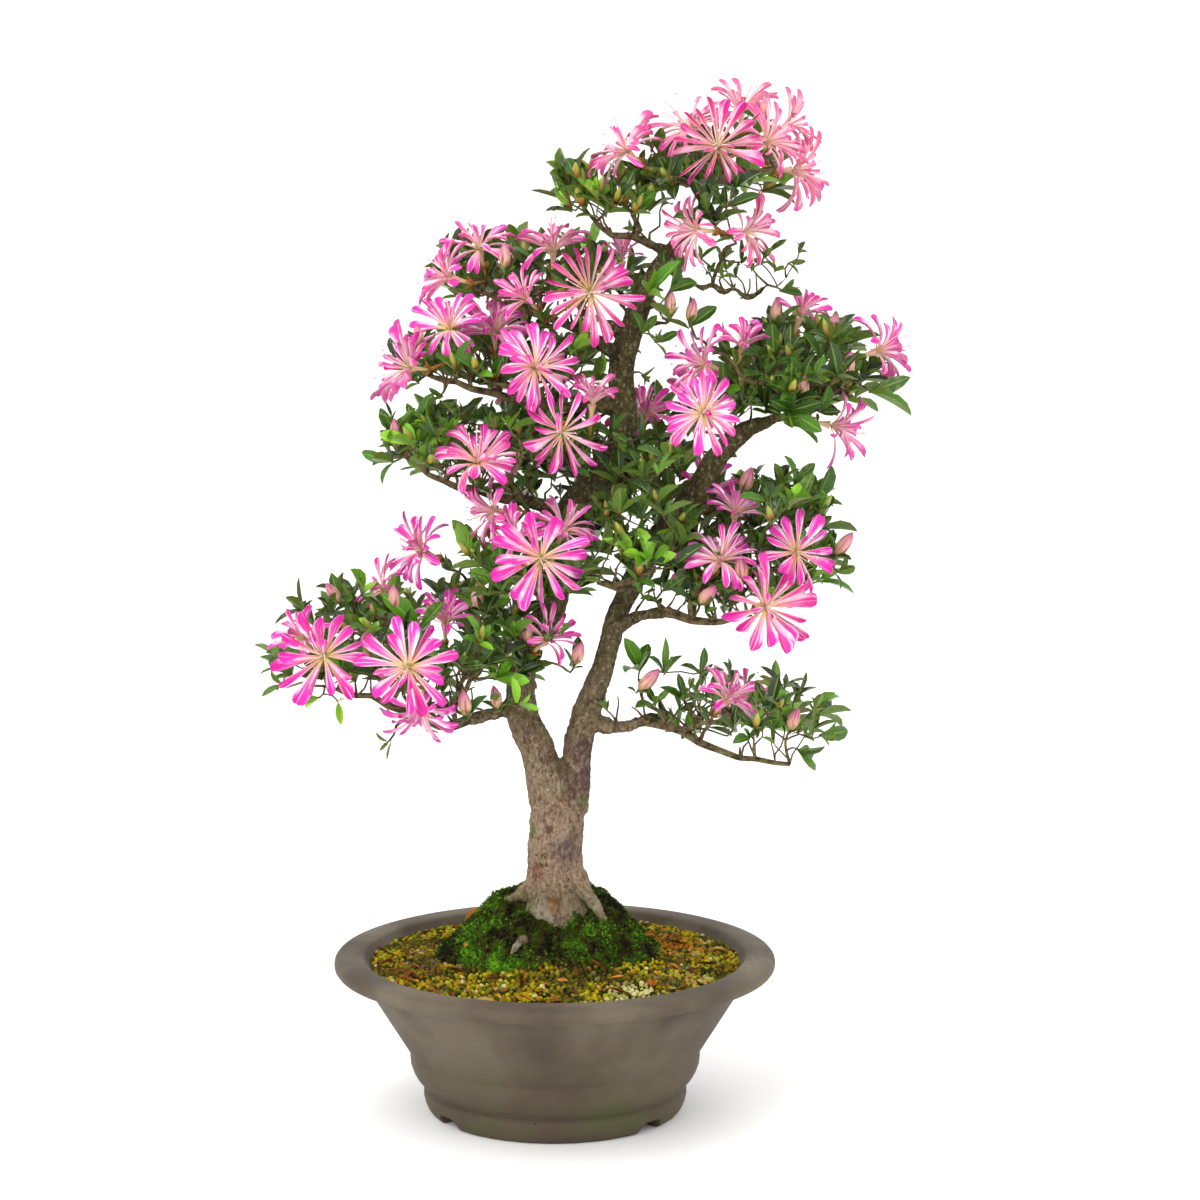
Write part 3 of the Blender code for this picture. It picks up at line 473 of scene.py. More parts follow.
def planted(name, plantings, tree, **sizes):
    """The plain mesh of a planting tree run over these plantings. Places and sizes are in millimetres."""
    cloud = mesh_of(name, [planting.place * MM for planting in plantings])
    set_marks(cloud, "turn", [planting.turn.to_euler() for planting in plantings], kind="FLOAT_VECTOR")
    set_marks(cloud, "size", [Vector(planting.size) * MM for planting in plantings], kind="FLOAT_VECTOR")
    set_marks(cloud, "pick", [planting.pick for planting in plantings], kind="INT")
    set_marks(cloud, "tint", [planting.tint for planting in plantings])
    return grown(name, cloud, tree, **sizes)


def shape_box(name, meshes):
    """A collection of shapes for a tree to pick from. It stays out of the scene, so none of them shows."""
    shapes = bpy.data.collections.new(name)
    for number, mesh in enumerate(meshes):
        shapes.objects.link(bpy.data.objects.new(f"{name}_{number}", mesh))
    return shapes


# %% [markdown]
# Twigs, stamens and stems are runs of stations with a radius at each. A branching tree of Geometry Nodes bends a
# smooth curve through the stations and sweeps a round profile along it, which gives closed tubes that taper evenly.

# %% A tree that sweeps stems along their stations
def sweeping_tree(name, finish):
    tree, add, given = new_tree(name, {"Sides": 5, "Steps": 2})
    curve = add("CurveSplineType CATMULL_ROM", add("MeshToCurve", given["Geometry"]))
    fine = add("SetSplineResolution", curve, None, given["Steps"])
    ring = add("CurvePrimitiveCircle", given["Sides"], Radius=1.0)
    radius = add("InputNamedAttribute FLOAT", "radius")
    return ended(tree, add("CurveToMesh", fine, ring, radius, True), finish)


def swept(name, runs, tree, **sizes):
    """The plain mesh of every run of stations, swept as tubes that point outwards."""
    points, edges, radii = [], [], []
    for run in runs:
        first = len(points)
        points += [point * MM for point, _ in run]
        radii += [radius * MM for _, radius in run]
        edges += [(first + i, first + i + 1) for i in range(len(run) - 1)]
    guide = mesh_of(name, points, edges=edges)
    set_marks(guide, "radius", radii)
    return outward(grown(name, guide, tree, **sizes), merge=1e-6)


# %% [markdown]
# Granules, moss and fallen leaves lie on a surface in no order. A strewing tree spreads points over the faces with a
# smallest distance between them, turns each shape at random from a fixed seed, and leans on a mark named cover, which
# says how densely each part of the surface is covered.

# %% A tree that strews shapes over a surface
def strewing_tree(name, shapes, finish):
    tree, add, given = new_tree(name, {
        "Spacing": 0.003, "Crowding": 1e5, "Smallest": 0.001, "Largest": 0.002, "Tumble": 3.0, "Seed": 1,
    })
    cover = add("InputNamedAttribute FLOAT", "cover")
    spread = add("DistributePointsOnFaces POISSON", given["Geometry"], None, given["Spacing"], given["Crowding"],
                 cover, given["Seed"])
    high = add("CombineXYZ", given["Tumble"], given["Tumble"], math.pi)
    ranges = (("FLOAT_VECTOR", add("VectorMath SCALE", high, -1.0), high),
              ("FLOAT", given["Smallest"], given["Largest"]), ("INT", 0, len(shapes.objects) - 1), ("FLOAT", 0.0, 1.0))
    tumble, size, pick, tint = [
        add("RandomValue " + kind, least, most, None, add("Math ADD", given["Seed"], float(shift)))
        for shift, (kind, least, most) in enumerate(ranges)
    ]
    tinted = add("StoreNamedAttribute FLOAT", spread, None, "tint", tint)
    turned = add("RotateRotation LOCAL", spread.outputs["Rotation"], add("EulerToRotation", tumble))
    kinds = add("CollectionInfo", shapes, True, True)
    return ended(tree, add("InstanceOnPoints", tinted, None, kinds, True, pick, turned, size), finish)


# %% [markdown]
# ## Blades
# Straps and leaves are both blades: narrow where they start, widest further out, with a rounded or pointed tip. Each
# is built as rings from base to tip. The face and the back meet at the edges, so the blade is a closed, thin lens, and
# its UV map runs across it and along it for the stripes and veins.

# %% Closed blades, one unit long
def ring_faces(rings, count):
    """The faces between one closed ring of count points and the next."""
    return [(ring * count + k, ring * count + (k + 1) % count, (ring + 1) * count + (k + 1) % count,
             (ring + 1) * count + k) for ring in range(rings) for k in range(count)]


def mapped_mesh(name, points, faces, spots, backs):
    """A closed mesh with a UV spot for each point, and a mark that tells a blade's back from its face."""
    mesh = mesh_of(name, points, faces)
    uvs = mesh.uv_layers.new(name="blade")
    uvs.data.foreach_set("uv", [c for loop in mesh.loops for c in spots[loop.vertex_index]])
    set_marks(mesh, "back", backs, domain="FACE")
    return outward(mesh)


def blade_shape(name, rows, spans, rise, reflex, channel, thickness, twist=0.0):
    """A blade that leaves the origin along +Y with its face up. rows are the place along it and the width there."""
    tops = [-1 + 2 * i / spans for i in range(spans + 1)]
    ring = [(s, 0) for s in tops] + [(s, 1) for s in reversed(tops[1:-1])]
    right = Vector((1, 0, 0))
    points, spots, last, middle = [], [], 0, Vector((0, 0, 0))
    for v, width in rows:
        pitch = math.radians(rise - reflex * (v + last) / 2)
        middle = middle + Vector((0, math.cos(pitch), math.sin(pitch))) * (v - last)
        last = v
        lift = Vector((0, -math.sin(pitch), math.cos(pitch)))
        side = right * math.cos(twist * v) + lift * math.sin(twist * v)
        up = lift * math.cos(twist * v) - right * math.sin(twist * v)
        for s, under in ring:
            points.append(middle + side * s * width / 2 + up * (channel * s * s * width - under * thickness))
            spots.append((s / 2 + 0.5, v))
    count = len(ring)
    faces = [tuple(range(count))[::-1]] + ring_faces(len(rows) - 1, count)
    faces.append(tuple(range(len(points) - count, len(points))))
    backs = [0.0 if k < spans else 1.0 for k in range(count)] * (len(rows) - 1)
    return mapped_mesh(name, points, faces, spots, [1.0] + backs + [1.0])


def lathe_shape(name, rows, sides):
    """A closed round shape one unit long, its radius given by rows, with the same UV map as a blade."""
    spots = [(k / sides, v, radius) for v, radius in rows for k in range(sides)]
    points = [Vector((math.cos(math.tau * turn) * radius, v, math.sin(math.tau * turn) * radius))
              for turn, v, radius in spots]
    faces = ring_faces(len(rows) - 1, sides) + [tuple(range(sides)), tuple(range(len(points) - sides, len(points)))]
    return mapped_mesh(name, points, faces, [spot[:2] for spot in spots], [0.0] * len(faces))


# %% [markdown]
# ## The finish of a petal
# Spider satsuki petals are magenta at the tip and along the middle, with white margins that break off short of the
# tip, and they pale through salmon to a yellow-green throat. Their backs are a duller rose. Painting each one is out
# of the question, so the stripes follow the blade's UV map, and a tint carried by each strap moves them.

# %% Striped spider petals
def on_blade(add):
    """Where a point lies across and along its blade, the blade's tint, and 1 on its back."""
    across, along, _ = add("SeparateXYZ", add("UVMap blade")).outputs
    return across, along, add("Attribute tint").outputs["Fac"], add("Attribute back").outputs["Fac"]


def layered(add, colour, layers):
    """Lays colours over one another, each as far as its share says."""
    for share, code in layers:
        colour = add("Mix RGBA", share, colour, code)
    return colour


def striped_petal(add):
    """Soft, slightly translucent petal: fine streaks along the strap, white margins and a magenta tip."""
    across, along, tint, back = on_blade(add)
    colour = add("ValToRGB", along, stops=[
        (0.0, "#a5b24e"), (0.1, "#ead684"), (0.25, "#f7bf9e"), (0.42, "#f48ca8"), (0.6, "#ee54a8"), (0.8, "#e03ca4"),
        (1.0, "#c93098"),
    ])
    spot = add("CombineXYZ", across, along, add("Math MULTIPLY", tint, 37.0))
    streaks = add("TexNoise", add("VectorMath MULTIPLY", spot, (7.0, 1.2, 1.0)), 1.0, 2.0)
    # Pale straps are washed with salmon below the tip, then every strap is streaked darker and lighter
    wash = add("Math MULTIPLY", add("MapRange", tint, 0.0, 0.5, 0.5, 0.0), add("MapRange", along, 0.7, 1.0, 1.0, 0.25))
    deep = add("Math MULTIPLY", add("MapRange", streaks, 0.47, 0.6, 0.0, 0.9), along)
    pale = add("MapRange", streaks, 0.44, 0.33, 0.0, 0.75)
    # The margin keeps off a middle line that the tint moves, and off both ends
    off_middle = add("Math ABSOLUTE", add("Math ADD", across, add("Math MULTIPLY_ADD", tint, 0.34, -0.67)))
    margin = add("MapRange SMOOTHSTEP", off_middle, 0.27, 0.4)
    kept = add("Math MULTIPLY", add("MapRange SMOOTHSTEP", along, 0.88, 0.7), add("MapRange", along, 0.08, 0.34))
    white = add("Math MULTIPLY", margin, kept)
    broken = add("Math MULTIPLY", white, add("MapRange", streaks, 0.36, 0.5, 1.0, 0.6))
    dull = add("Math MULTIPLY", back, 0.3)
    colour = layered(add, colour, ((wash, "#f4b3bd"), (deep, "#d41c8c"), (pale, "#fbdfe8"), (broken, "#fdeef2"),
                                   (dull, "#d98fae")))
    return add("HueSaturation", Hue=add("MapRange", tint, None, None, 0.512, 0.474), Color=colour), streaks


petal = finish_of("petal_striped_magenta", (0.55, 0.3, 0.12, 0.0015), (0.25, 0.0004), striped_petal)

# %% [markdown]
# Closed buds are peach with fine rose veins and a magenta tip, and yellow-green at the foot. The funnel behind an open
# bloom has the same skin, paler. Stamens are cream with brown anthers, and brown scales stay at the foot of a bloom.

# %% Buds, funnels, filaments and scales
def veined_skin(add, stops, vein, strength):
    """Fine veins along a bud or funnel, drawn over a ramp from its foot to its tip."""
    across, along, tint, _ = on_blade(add)
    spot = add("CombineXYZ", across, along, tint)
    veins = add("TexNoise", add("VectorMath MULTIPLY", spot, (16.0, 1.8, 30.0)), 1.0, 2.0)
    share = add("MapRange", veins, 0.48, 0.68, 0.0, strength)
    return add("Mix RGBA", share, add("ValToRGB", along, stops=stops), vein), veins


bud_skin, funnel_skin, filament, scale_skin, young_skin = [
    finish_of(name, (0.5, None, 0.1, 0.002), (0.3, 0.0003), veined_skin, stops, vein, strength)
    for name, vein, strength, stops in (
        ("bud_peach_veined", "#9c4468", 1.0, [(0.0, "#7f9036"), (0.16, "#c4b06a"), (0.4, "#dfb394"), (0.75, "#d28c98"),
                                              (1.0, "#b03c7c")]),
        ("funnel_pale_green", "#c9718a", 0.7, [(0.0, "#9aa850"), (0.4, "#dbc78e"), (1.0, "#eec0a0")]),
        ("filament_cream", "#e79bb4", 0.3, [(0.0, "#e9dfae"), (0.6, "#f5dcd6"), (1.0, "#f0c2cf")]),
        ("bud_scale_brown", "#5a3a18", 0.6, [(0.0, "#6b4a20"), (0.5, "#a8702c"), (1.0, "#c98d3c")]),
        ("bud_young_green", "#8f4a26", 0.7, [(0.0, "#5f3f1a"), (0.22, "#9a6328"), (0.45, "#a59a3c"),
                                             (1.0, "#93ad46")]),
    )
]

# %% [markdown]
# ## Leaves
# Satsuki leaves are small, leathery and glossy. Most are dark green with a paler midrib, some fresh ones are bright,
# and the backs are greyer. A ramp over the tint that each leaf carries makes that mix, and the midrib and side veins
# follow the blade.

# %% Glossy leaf and its fresh growth
def leathery_leaf(add):
    """Leathery gloss with a pale midrib, side veins in low relief and a dull back."""
    across, along, tint, back = on_blade(add)
    colour = add("ValToRGB", tint, stops=[
        (0.0, "#1c320c"), (0.3, "#2b4b10"), (0.55, "#3d6a14"), (0.78, "#55911c"), (0.92, "#74b824"), (1.0, "#96d036"),
    ])
    mottle = add("TexNoise", add("TexCoord").outputs["Object"], 160.0, 3.0)
    off_rib = add("Math ABSOLUTE", add("Math ADD", across, -0.5))
    slant = add("Math MULTIPLY_ADD", off_rib, -0.7, along)
    return layered(add, colour, (
        (add("MapRange", mottle, 0.35, 0.65, 0.0, 0.16), "#21370f"),
        (add("MapRange", off_rib, 0.09, 0.03, 0.0, 0.6), "#8caa44"), (add("Math MULTIPLY", back, 0.6), "#6b8636"),
    )), add("Math SINE", add("Math MULTIPLY", slant, 44.0))


leaf_skin = finish_of("leaf_leathery_green", (0.3, 0.4, 0.04, 0.001), (0.35, 0.0004), leathery_leaf)

# %% [markdown]
# ## Bark
# Azalea bark is thin and smooth. Low on the trunk it is mottled grey-beige with pinkish brown and pale patches, and
# small dark flecks run round it. Higher limbs are older looking, olive-brown with a film of algae. Noise in Object
# coordinates gives the patches, squeezed along the trunk so that they lie upright.

# %% Mottled bark, greener on the upper limbs
# Each spot is a place read from the photograph, its reach in metres, its colour and how much of it shows
BARK_SPOTS = [
    ((541, 914, -28), 0.015, "#b9ae9c", 0.6), ((516, 943, -50), 0.008, "#b4af9c", 0.7),
    # The next two spots lie in the groove below the fork: their olive is algae, and their darkness is painted shade
    ((563, 770, -12), 0.007, "#3c431c", 1.0), ((566, 788, -14), 0.006, "#44451f", 1.0),
    ((532, 832, -8), 0.006, "#66753a", 0.9), ((584, 801, -8), 0.006, "#66753a", 0.9),
    ((536, 872, -14), 0.008, "#7c4a38", 0.8), ((562, 838, -18), 0.006, "#b9a58e", 0.8),
    ((592, 904, -18), 0.011, "#b3a792", 0.5), ((556, 905, -26), 0.009, "#96603a", 0.9),
    ((567, 797, -16), 0.008, "#9a5f3a", 0.9), ((586, 780, -10), 0.018, "#4d3536", 0.8),
    ((582, 748, -9), 0.012, "#563d3c", 0.8), ((568, 850, -18), 0.016, "#5c4848", 0.6),
]


def spotted(add, place, colour, spots, gate):
    """Lays spots over a colour, as far as a gate lets them through. A spot is full strength in its inner 0.4."""
    for spot, reach, code, share in spots:
        away = add("VectorMath DISTANCE", place, spot)
        near = add("MapRange", away, reach, reach * 0.4, 0.0, share)
        colour = add("Mix RGBA", add("Math MULTIPLY", near, gate), colour, code)
    return colour


def mottled_bark(add):
    """Matt mottled bark: patches of about 14 mm, flecks of 3 mm, greener and darker with height."""
    place = add("TexCoord").outputs["Object"]
    upright = add("Mapping", place, Scale=(1.0, 1.0, 0.7))
    patches = add("TexNoise", upright, 74.0, 8.0, 0.76)
    low = add("ValToRGB", patches, stops=[
        (0.36, "#463429"), (0.41, "#684c3e"), (0.45, "#947d66"), (0.5, "#a08a6f"), (0.53, "#7c604f"), (0.57, "#a69177"),
        (0.61, "#84705a"), (0.66, "#c6baa1"),
    ])
    high = add("ValToRGB", patches, stops=[
        (0.36, "#1e1a08"), (0.42, "#352f15"), (0.47, "#564c2a"), (0.51, "#3e4116"), (0.56, "#685d37"),
        (0.61, "#4e4c20"), (0.66, "#877c54"),
    ])
    height = add("SeparateXYZ", place).outputs["Z"]
    wander = add("TexNoise", place, 22.0, 2.0)
    up = add("MapRange", add("Math MULTIPLY_ADD", wander, 0.12, height), 0.26, 0.4)
    # A spot is torn by the patches, which are about a half, so its share is doubled
    spots = [(at(*spot) * MM, reach, code, share * 2) for spot, reach, code, share in BARK_SPOTS]
    colour = spotted(add, place, add("Mix RGBA", up, low, high), spots, patches)
    flecks = add("TexNoise", upright, 380.0, 8.0, 0.8)
    foot_band = add("MapRange", height, 0.162, 0.148, 0.0, 0.6)
    return layered(add, colour, (
        (add("MapRange", flecks, 0.51, 0.59, 0.0, 0.75), "#413029"),
        (add("MapRange", flecks, 0.47, 0.36, 0.0, 0.55), "#cabda4"),
        (add("Math MULTIPLY", foot_band, wander), "#3a4a1e"),
    )), add("Math MULTIPLY_ADD", flecks, -0.5, patches)


bark = finish_of("bark_mottled", (0.85, 0.25), (1.0, 0.0028), mottled_bark)

# %% [markdown]
# ## The wood
# Trunk, stems and limbs grew as one piece, so tubes that merely cross would look wrong at every fork. The stems are
# swept along their stations, a voxel remesh melts them into one skin, smoothing rounds the creases, and noise along
# the normals gives the swellings and shallow furrows of old azalea wood.

# %% One skin over trunk, roots and limbs
ROOT_FINGERS = [
    [(546, 870, -4, 9), (532, 886, -6, 6), (518, 896, -7, 4), (503, 902, -6, 2.6)],
    [(572, 874, -9, 8), (586, 893, -13, 5), (597, 908, -17, 3.6), (606, 921, -20, 2.4)],
    [(550, 892, -17, 8), (543, 914, -19, 5.6), (531, 936, -26, 4), (519, 944, -45, 3), (511, 955, -53, 2)],
    [(566, 890, 16, 9), (584, 900, 26, 6), (604, 912, 36, 4)],
    [(545, 890, 16, 9), (524, 902, 28, 6), (504, 914, 38, 4)],
]
STUBS = [
    [(540, 640, 4, 5), (533, 632, -3, 3), (528, 628, -8, 2.2)],
    [(612, 400, 0, 6), (604, 396, -8, 3), (600, 392, -11, 2.2)],
    [(592, 706, -2, 8), (594, 704, -11, 4.5), (594, 703, -13.5, 3)],
    [(618, 330, 3, 6), (610, 324, -4, 3), (604, 322, -6, 2)],
    [(636, 300, 3, 6), (646, 306, -4, 3), (655, 304, -6, 2)],
    [(700, 494, 0, 6), (712, 502, -6, 3), (720, 506, -8, 2)],
]
# The stems stay apart below the fork, as a groove that runs down and turns to the right
FORK_GROOVE = [(560, 754, -8), (562, 772, -12), (565, 787, -15), (568, 799, -17), (574, 808, -17), (583, 813, -15)]
VOXEL = 0.00124
foot = Vector((POT_X, 0, 0))
stem_tree = sweeping_tree("stems", bark)
runs = [[(foot + Vector((0, 0, 86)), 30.5), (foot + Vector((0, 0, 128)), 27.5)] + stations_at(TRUNK_TOP)]
runs += [stations_at(rows) for rows in [LEFT_STEM, RIGHT_STEM, UNDER_APEX_TWIG] + ROOT_FINGERS + STUBS]
runs += [slender(pad.limb) for pad in PADS.values()]
for turn, reach in ROOT_RIDGES:
    out = way(math.radians(turn))
    runs.append([(foot + out * far + Vector((0, 0, height)), radius)
                 for far, height, radius in ((12, 180, 4), (15.5, 156, 4.4), (reach - 3, 134, 4.4))])
skin = object_of("skin", swept("stems", runs, stem_tree, Sides=20, Steps=5))
having(skin.modifiers.new("melt", "REMESH"), mode="VOXEL", voxel_size=VOXEL)
having(skin.modifiers.new("settle", "SMOOTH"), factor=0.5, iterations=5)
wood = plain_mesh(skin)
OLD_WOOD_TOP = 290
GROOVE_DEPTH = 3.6


def weathered(mesh):
    """Swellings of 16 mm, upright furrows of 5 mm, pits and flakes of 2 mm, and the groove below the fork."""
    turns = [at(*spot) for spot in FORK_GROOVE]
    groove = [a.lerp(b, step / 4) for a, b in zip(turns, turns[1:]) for step in range(4)]
    shifts = []
    for vertex in mesh.vertices:
        place = vertex.co / MM
        # How deep each noise is in millimetres, its size, and how it is squeezed along the trunk
        height = (1.0 if place.z < OLD_WOOD_TOP else 0.6) * sum(
            depth * noise.noise(Vector((place.x, place.y, place.z * squeeze)) / size)
            for depth, size, squeeze in ((1.9, 16, 0.6), (1.3, 5, 0.3), (0.6, 2.4, 1), (0.45, 1.6, 0.5)))
        if groove[-1].z - 8 < place.z < groove[0].z + 8 and vertex.normal.y < -0.2:
            beside = min(math.hypot(place.x - spot.x, place.z - spot.z) for spot in groove)
            height -= GROOVE_DEPTH * max(0, 1 - beside / GROOVE_DEPTH)
        shifts.append(vertex.normal * MM * height)
    for vertex, shift in zip(mesh.vertices, shifts):
        vertex.co += shift
    return mesh


trunk = joined("trunk_wood", [only_finish(weathered(wood), bark)], crease=180)
placed(trunk, "bark", "trunk_and_branches")

# %% [markdown]
# ## Blooms
# Each bloom is a ring of 14 to 25 narrow straps round a throat, with a few short ones standing inside it, six stamens,
# a funnel behind and the bud's brown scales at its foot. The straps come in six bends. A bloom's place is read from
# its pixel, and its depth from the solid that stands for it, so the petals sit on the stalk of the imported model.

# %% Shapes and trees for the blooms
STRAP_ROWS = ((0, 0.2), (0.16, 0.3), (0.34, 0.44), (0.52, 0.66), (0.7, 0.92), (0.86, 1.0), (0.95, 0.76), (1, 0.34))
# How far a strap bends back in degrees, how deep its channel is and how far it twists. Flat blooms take the first
# three, and cupped ones the second and the last three
STRAP_BENDS = ((16, 0.13, 0.0), (34, 0.06, 0.05), (6, 0.17, -0.25), (64, 0.06, 0.04), (40, 0.1, -0.08),
               (88, 0.07, 0.05))
FLAT_BENDS = (0, 1, 2, 2)
CUPPED_BENDS = (1, 3, 4, 5)
FILAMENT_ROWS = ((0, 0.034), (0.35, 0.03), (0.7, 0.026), (0.93, 0.022), (0.95, 0.075), (0.985, 0.08), (1, 0.03))
FUNNEL_ROWS = ((0, 0.08), (0.3, 0.085), (0.6, 0.11), (0.85, 0.16), (1, 0.21))
SCALE_ROWS = ((0, 0.3), (0.3, 0.9), (0.6, 1.0), (0.85, 0.6), (1, 0.08))
STALK_ROWS = ((0, 0.12), (0.5, 0.1), (1, 0.14))


def bent_blades(name, rows, spans, rise, thickness, bends):
    """A box of blades, one for each reflex, channel and twist."""
    return shape_box(name, [blade_shape(f"{name}_{i}", rows, spans, rise, reflex, channel, thickness, twist)
                            for i, (reflex, channel, twist) in enumerate(bends)])


BLOOM_TREES = [planting_tree(name, shapes, finish) for name, shapes, finish in (
    ("straps_of_a_bloom", bent_blades("strap", STRAP_ROWS, 3, 10, 0.013, STRAP_BENDS), petal),
    ("stamens_of_a_bloom", bent_blades("filament", FILAMENT_ROWS, 2, 8, 0.022, [(-30, 0, 0), (-10, 0, 0), (20, 0, 0)]),
     filament),
    ("funnel_of_a_bloom", shape_box("funnel", [lathe_shape("funnel_0", FUNNEL_ROWS, 8)]), funnel_skin),
    ("scales_of_a_bloom", bent_blades("scale", SCALE_ROWS, 2, 0, 0.05, [(30, -0.12, 0)]), scale_skin),
    ("stalk_of_a_bloom", shape_box("stalk", [lathe_shape("stalk_0", STALK_ROWS, 6)]), scale_skin),
)]
scale_tree = BLOOM_TREES[3]


def mesh_from(name, bm):
    mesh = bpy.data.meshes.new(name)
    bm.to_mesh(mesh)
    bm.free()
    return mesh


def along_y(direction):
    """The turn that takes +Y to a direction."""
    return direction.to_track_quat("Y", "Z").to_matrix()


def round_axis(axis, angle, lift, roll=0.0):
    """The turn of a blade that leaves an axis at an angle round it, lifted towards it in degrees."""
    return (axis.to_track_quat("Z", "Y").to_matrix() @ Matrix.Rotation(angle - math.pi / 2, 3, "Z")
            @ Matrix.Rotation(math.radians(lift), 3, "X") @ Matrix.Rotation(roll, 3, "Y"))


# %% Where each bloom really stands
TUBE_LENGTH = 14
# How far a bloom's colour is from pale salmon pink towards purple magenta, by its pad
MOODS = {"apex": 0.12, "high_left": 0.45, "upper_left": 0.5, "mid_left": 0.5, "right_upper": 0.6, "lower_left": 0.8}
BROAD_PADS = ("lower_left", "right_mid", "centre", "back")
PEDICEL_LENGTH = 9
# Where the solid's hub has its rim, in millimetres from the centre, and the shifts in depth that are tried
HUB_NEAR, HUB_FAR = 2.2, 4.3
SHIFTS = (0, 7, -7, 14, -14, 21, -21, 28, -28, 35, -35)


def hub_points(tree, bloom, shift):
    """How many points of the solid lie where its hub's rim would be, at this shift in depth."""
    centre = at(bloom.px, bloom.py, bloom.depth + shift)
    return sum(distance > HUB_NEAR for _, _, distance in tree.find_range(centre, HUB_FAR))


Flower = namedtuple("Flower", "number bloom pad centre axis joint heading")
flowers = []
for bloom in BLOOMS:
    number = (flowers[-1].number if flowers else 0) + (bloom.pad is not None)
    corners = frame["nodes"][f"bloom_{number:02d}"].data.vertices
    tree = KDTree(len(corners))
    for index, corner in enumerate(corners):
        tree.insert(corner.co / MM, index)
    tree.balance()
    shift = max(SHIFTS, key=lambda shift: (hub_points(tree, bloom, shift), -abs(shift)))
    centre = at(bloom.px, bloom.py, bloom.depth + shift)
    axis = facing(bloom.side, bloom.rise)
    heading = (axis + Vector((0, 0, 0.5))).normalized()
    joint = centre - axis * TUBE_LENGTH - heading * PEDICEL_LENGTH
    if bloom.pad is None:
        joint, heading = flowers[-1].joint, flowers[-1].heading
    flowers.append(Flower(number, bloom, bloom.pad or flowers[-1].pad, centre, axis, joint, heading))
    print(f"bloom_{number:02d}", "shift", shift, "hub points", hub_points(tree, bloom, shift))

# %% Petals, stamens, funnels and stalks
# Blooms below this cup look at the camera with their straps spread flat
FLAT_CUP = 24
STAMENS = 6
COLLAR_SCALES = 5


def dressed_bloom(flower, draw):
    """Plantings of one bloom: straps, stamens, funnel, scales and stalk."""
    bloom, centre, axis = flower.bloom, flower.centre, flower.axis
    flat = bloom.cup < FLAT_CUP
    wide = flat and flower.pad in BROAD_PADS
    count = round(bloom.length * (0.54 if wide else 0.76 if flat else 0.88))
    first = draw.uniform(0, math.tau)
    mood = MOODS.get(flower.pad, 0.65) + draw.uniform(-0.15, 0.15)
    broad = draw.uniform(*(0.22, 0.28) if wide else (0.1, 0.14) if flat else
                         (0.12, 0.165) if flower.pad == "apex" else (0.16, 0.22))
    stray = 20 if flat else 26
    ring = []
    for i in range(count):
        angle = first + math.tau * (i + draw.uniform(-0.26, 0.26)) / count
        lift = min(bloom.cup * 0.8 + draw.uniform(-stray, stray), 84)
        length = bloom.length * draw.uniform(0.84, 1.18)
        width = length * broad * draw.choice((0.7, 0.85, 1, 1, 1.15, 1.35))
        turn = round_axis(axis, angle, lift, draw.uniform(-0.5, 0.5))
        bend = draw.choice(FLAT_BENDS if flat else CUPPED_BENDS)
        ring.append(Planting(centre + turn @ Vector((0, 1.4, 0)), turn, (width, length, length), bend,
                             clamped(mood + draw.uniform(-0.22, 0.22))))
    for _ in range(draw.randrange(2, 5)):
        length = bloom.length * draw.uniform(0.45, 0.72)
        turn = round_axis(axis, draw.uniform(0, math.tau), min(bloom.cup + draw.uniform(18, 42), 86),
                          draw.uniform(-0.8, 0.8))
        ring.append(Planting(centre + turn @ Vector((0, 0.8, 0)), turn, (length * 0.17, length, length),
                             draw.randrange(len(STRAP_BENDS)), min(1, mood + 0.1)))
    stamens = []
    for _ in range(STAMENS):
        length = bloom.length * draw.uniform(0.7, 1.0)
        turn = round_axis(axis, draw.uniform(0, math.tau), draw.uniform(58, 84), draw.uniform(-3, 3))
        stamens.append(Planting(centre - axis, turn, (length,) * 3, draw.randrange(3), draw.random()))
    base = centre - axis * TUBE_LENGTH
    funnel = [Planting(base, along_y(axis), (TUBE_LENGTH,) * 3, 0, draw.random())]
    collar = []
    for i in range(COLLAR_SCALES):
        turn = round_axis(axis, math.tau * i / COLLAR_SCALES + draw.uniform(-0.2, 0.2), draw.uniform(62, 76))
        length = draw.uniform(5.5, 8.5)
        collar.append(Planting(base - axis * 1.5, turn, (length * 0.5, length, length), 0, draw.random()))
    reach = base - flower.joint
    stalk = [Planting(flower.joint, along_y(reach.normalized()), (9, reach.length + 0.6, 9), 0, 0.4)]
    return ring, stamens, funnel, collar, stalk


bloom_parts = {}
for index, flower in enumerate(flowers):
    parts = bloom_parts.setdefault(flower.number, ([], [], [], [], []))
    for kept, new in zip(parts, dressed_bloom(flower, random.Random(500 + index))):
        kept += new
for number, parts in bloom_parts.items():
    meshes = [planted("part", part, tree) for part, tree in zip(parts, BLOOM_TREES)]
    placed(joined(f"flower_{number:02d}", meshes), "petals", f"bloom_{number:02d}")

# %% [markdown]
# ## Foliage
# A pad of foliage is a fan of thin branches that fork again and again, with a whorl of two to seven leaves at each
# tip. Scattering leaves in a cloud would leave them hanging in the air, so each whorl is given a twig that starts at
# the nearest branch below it, and every new twig can carry the next one, from the inside of the pad outwards.

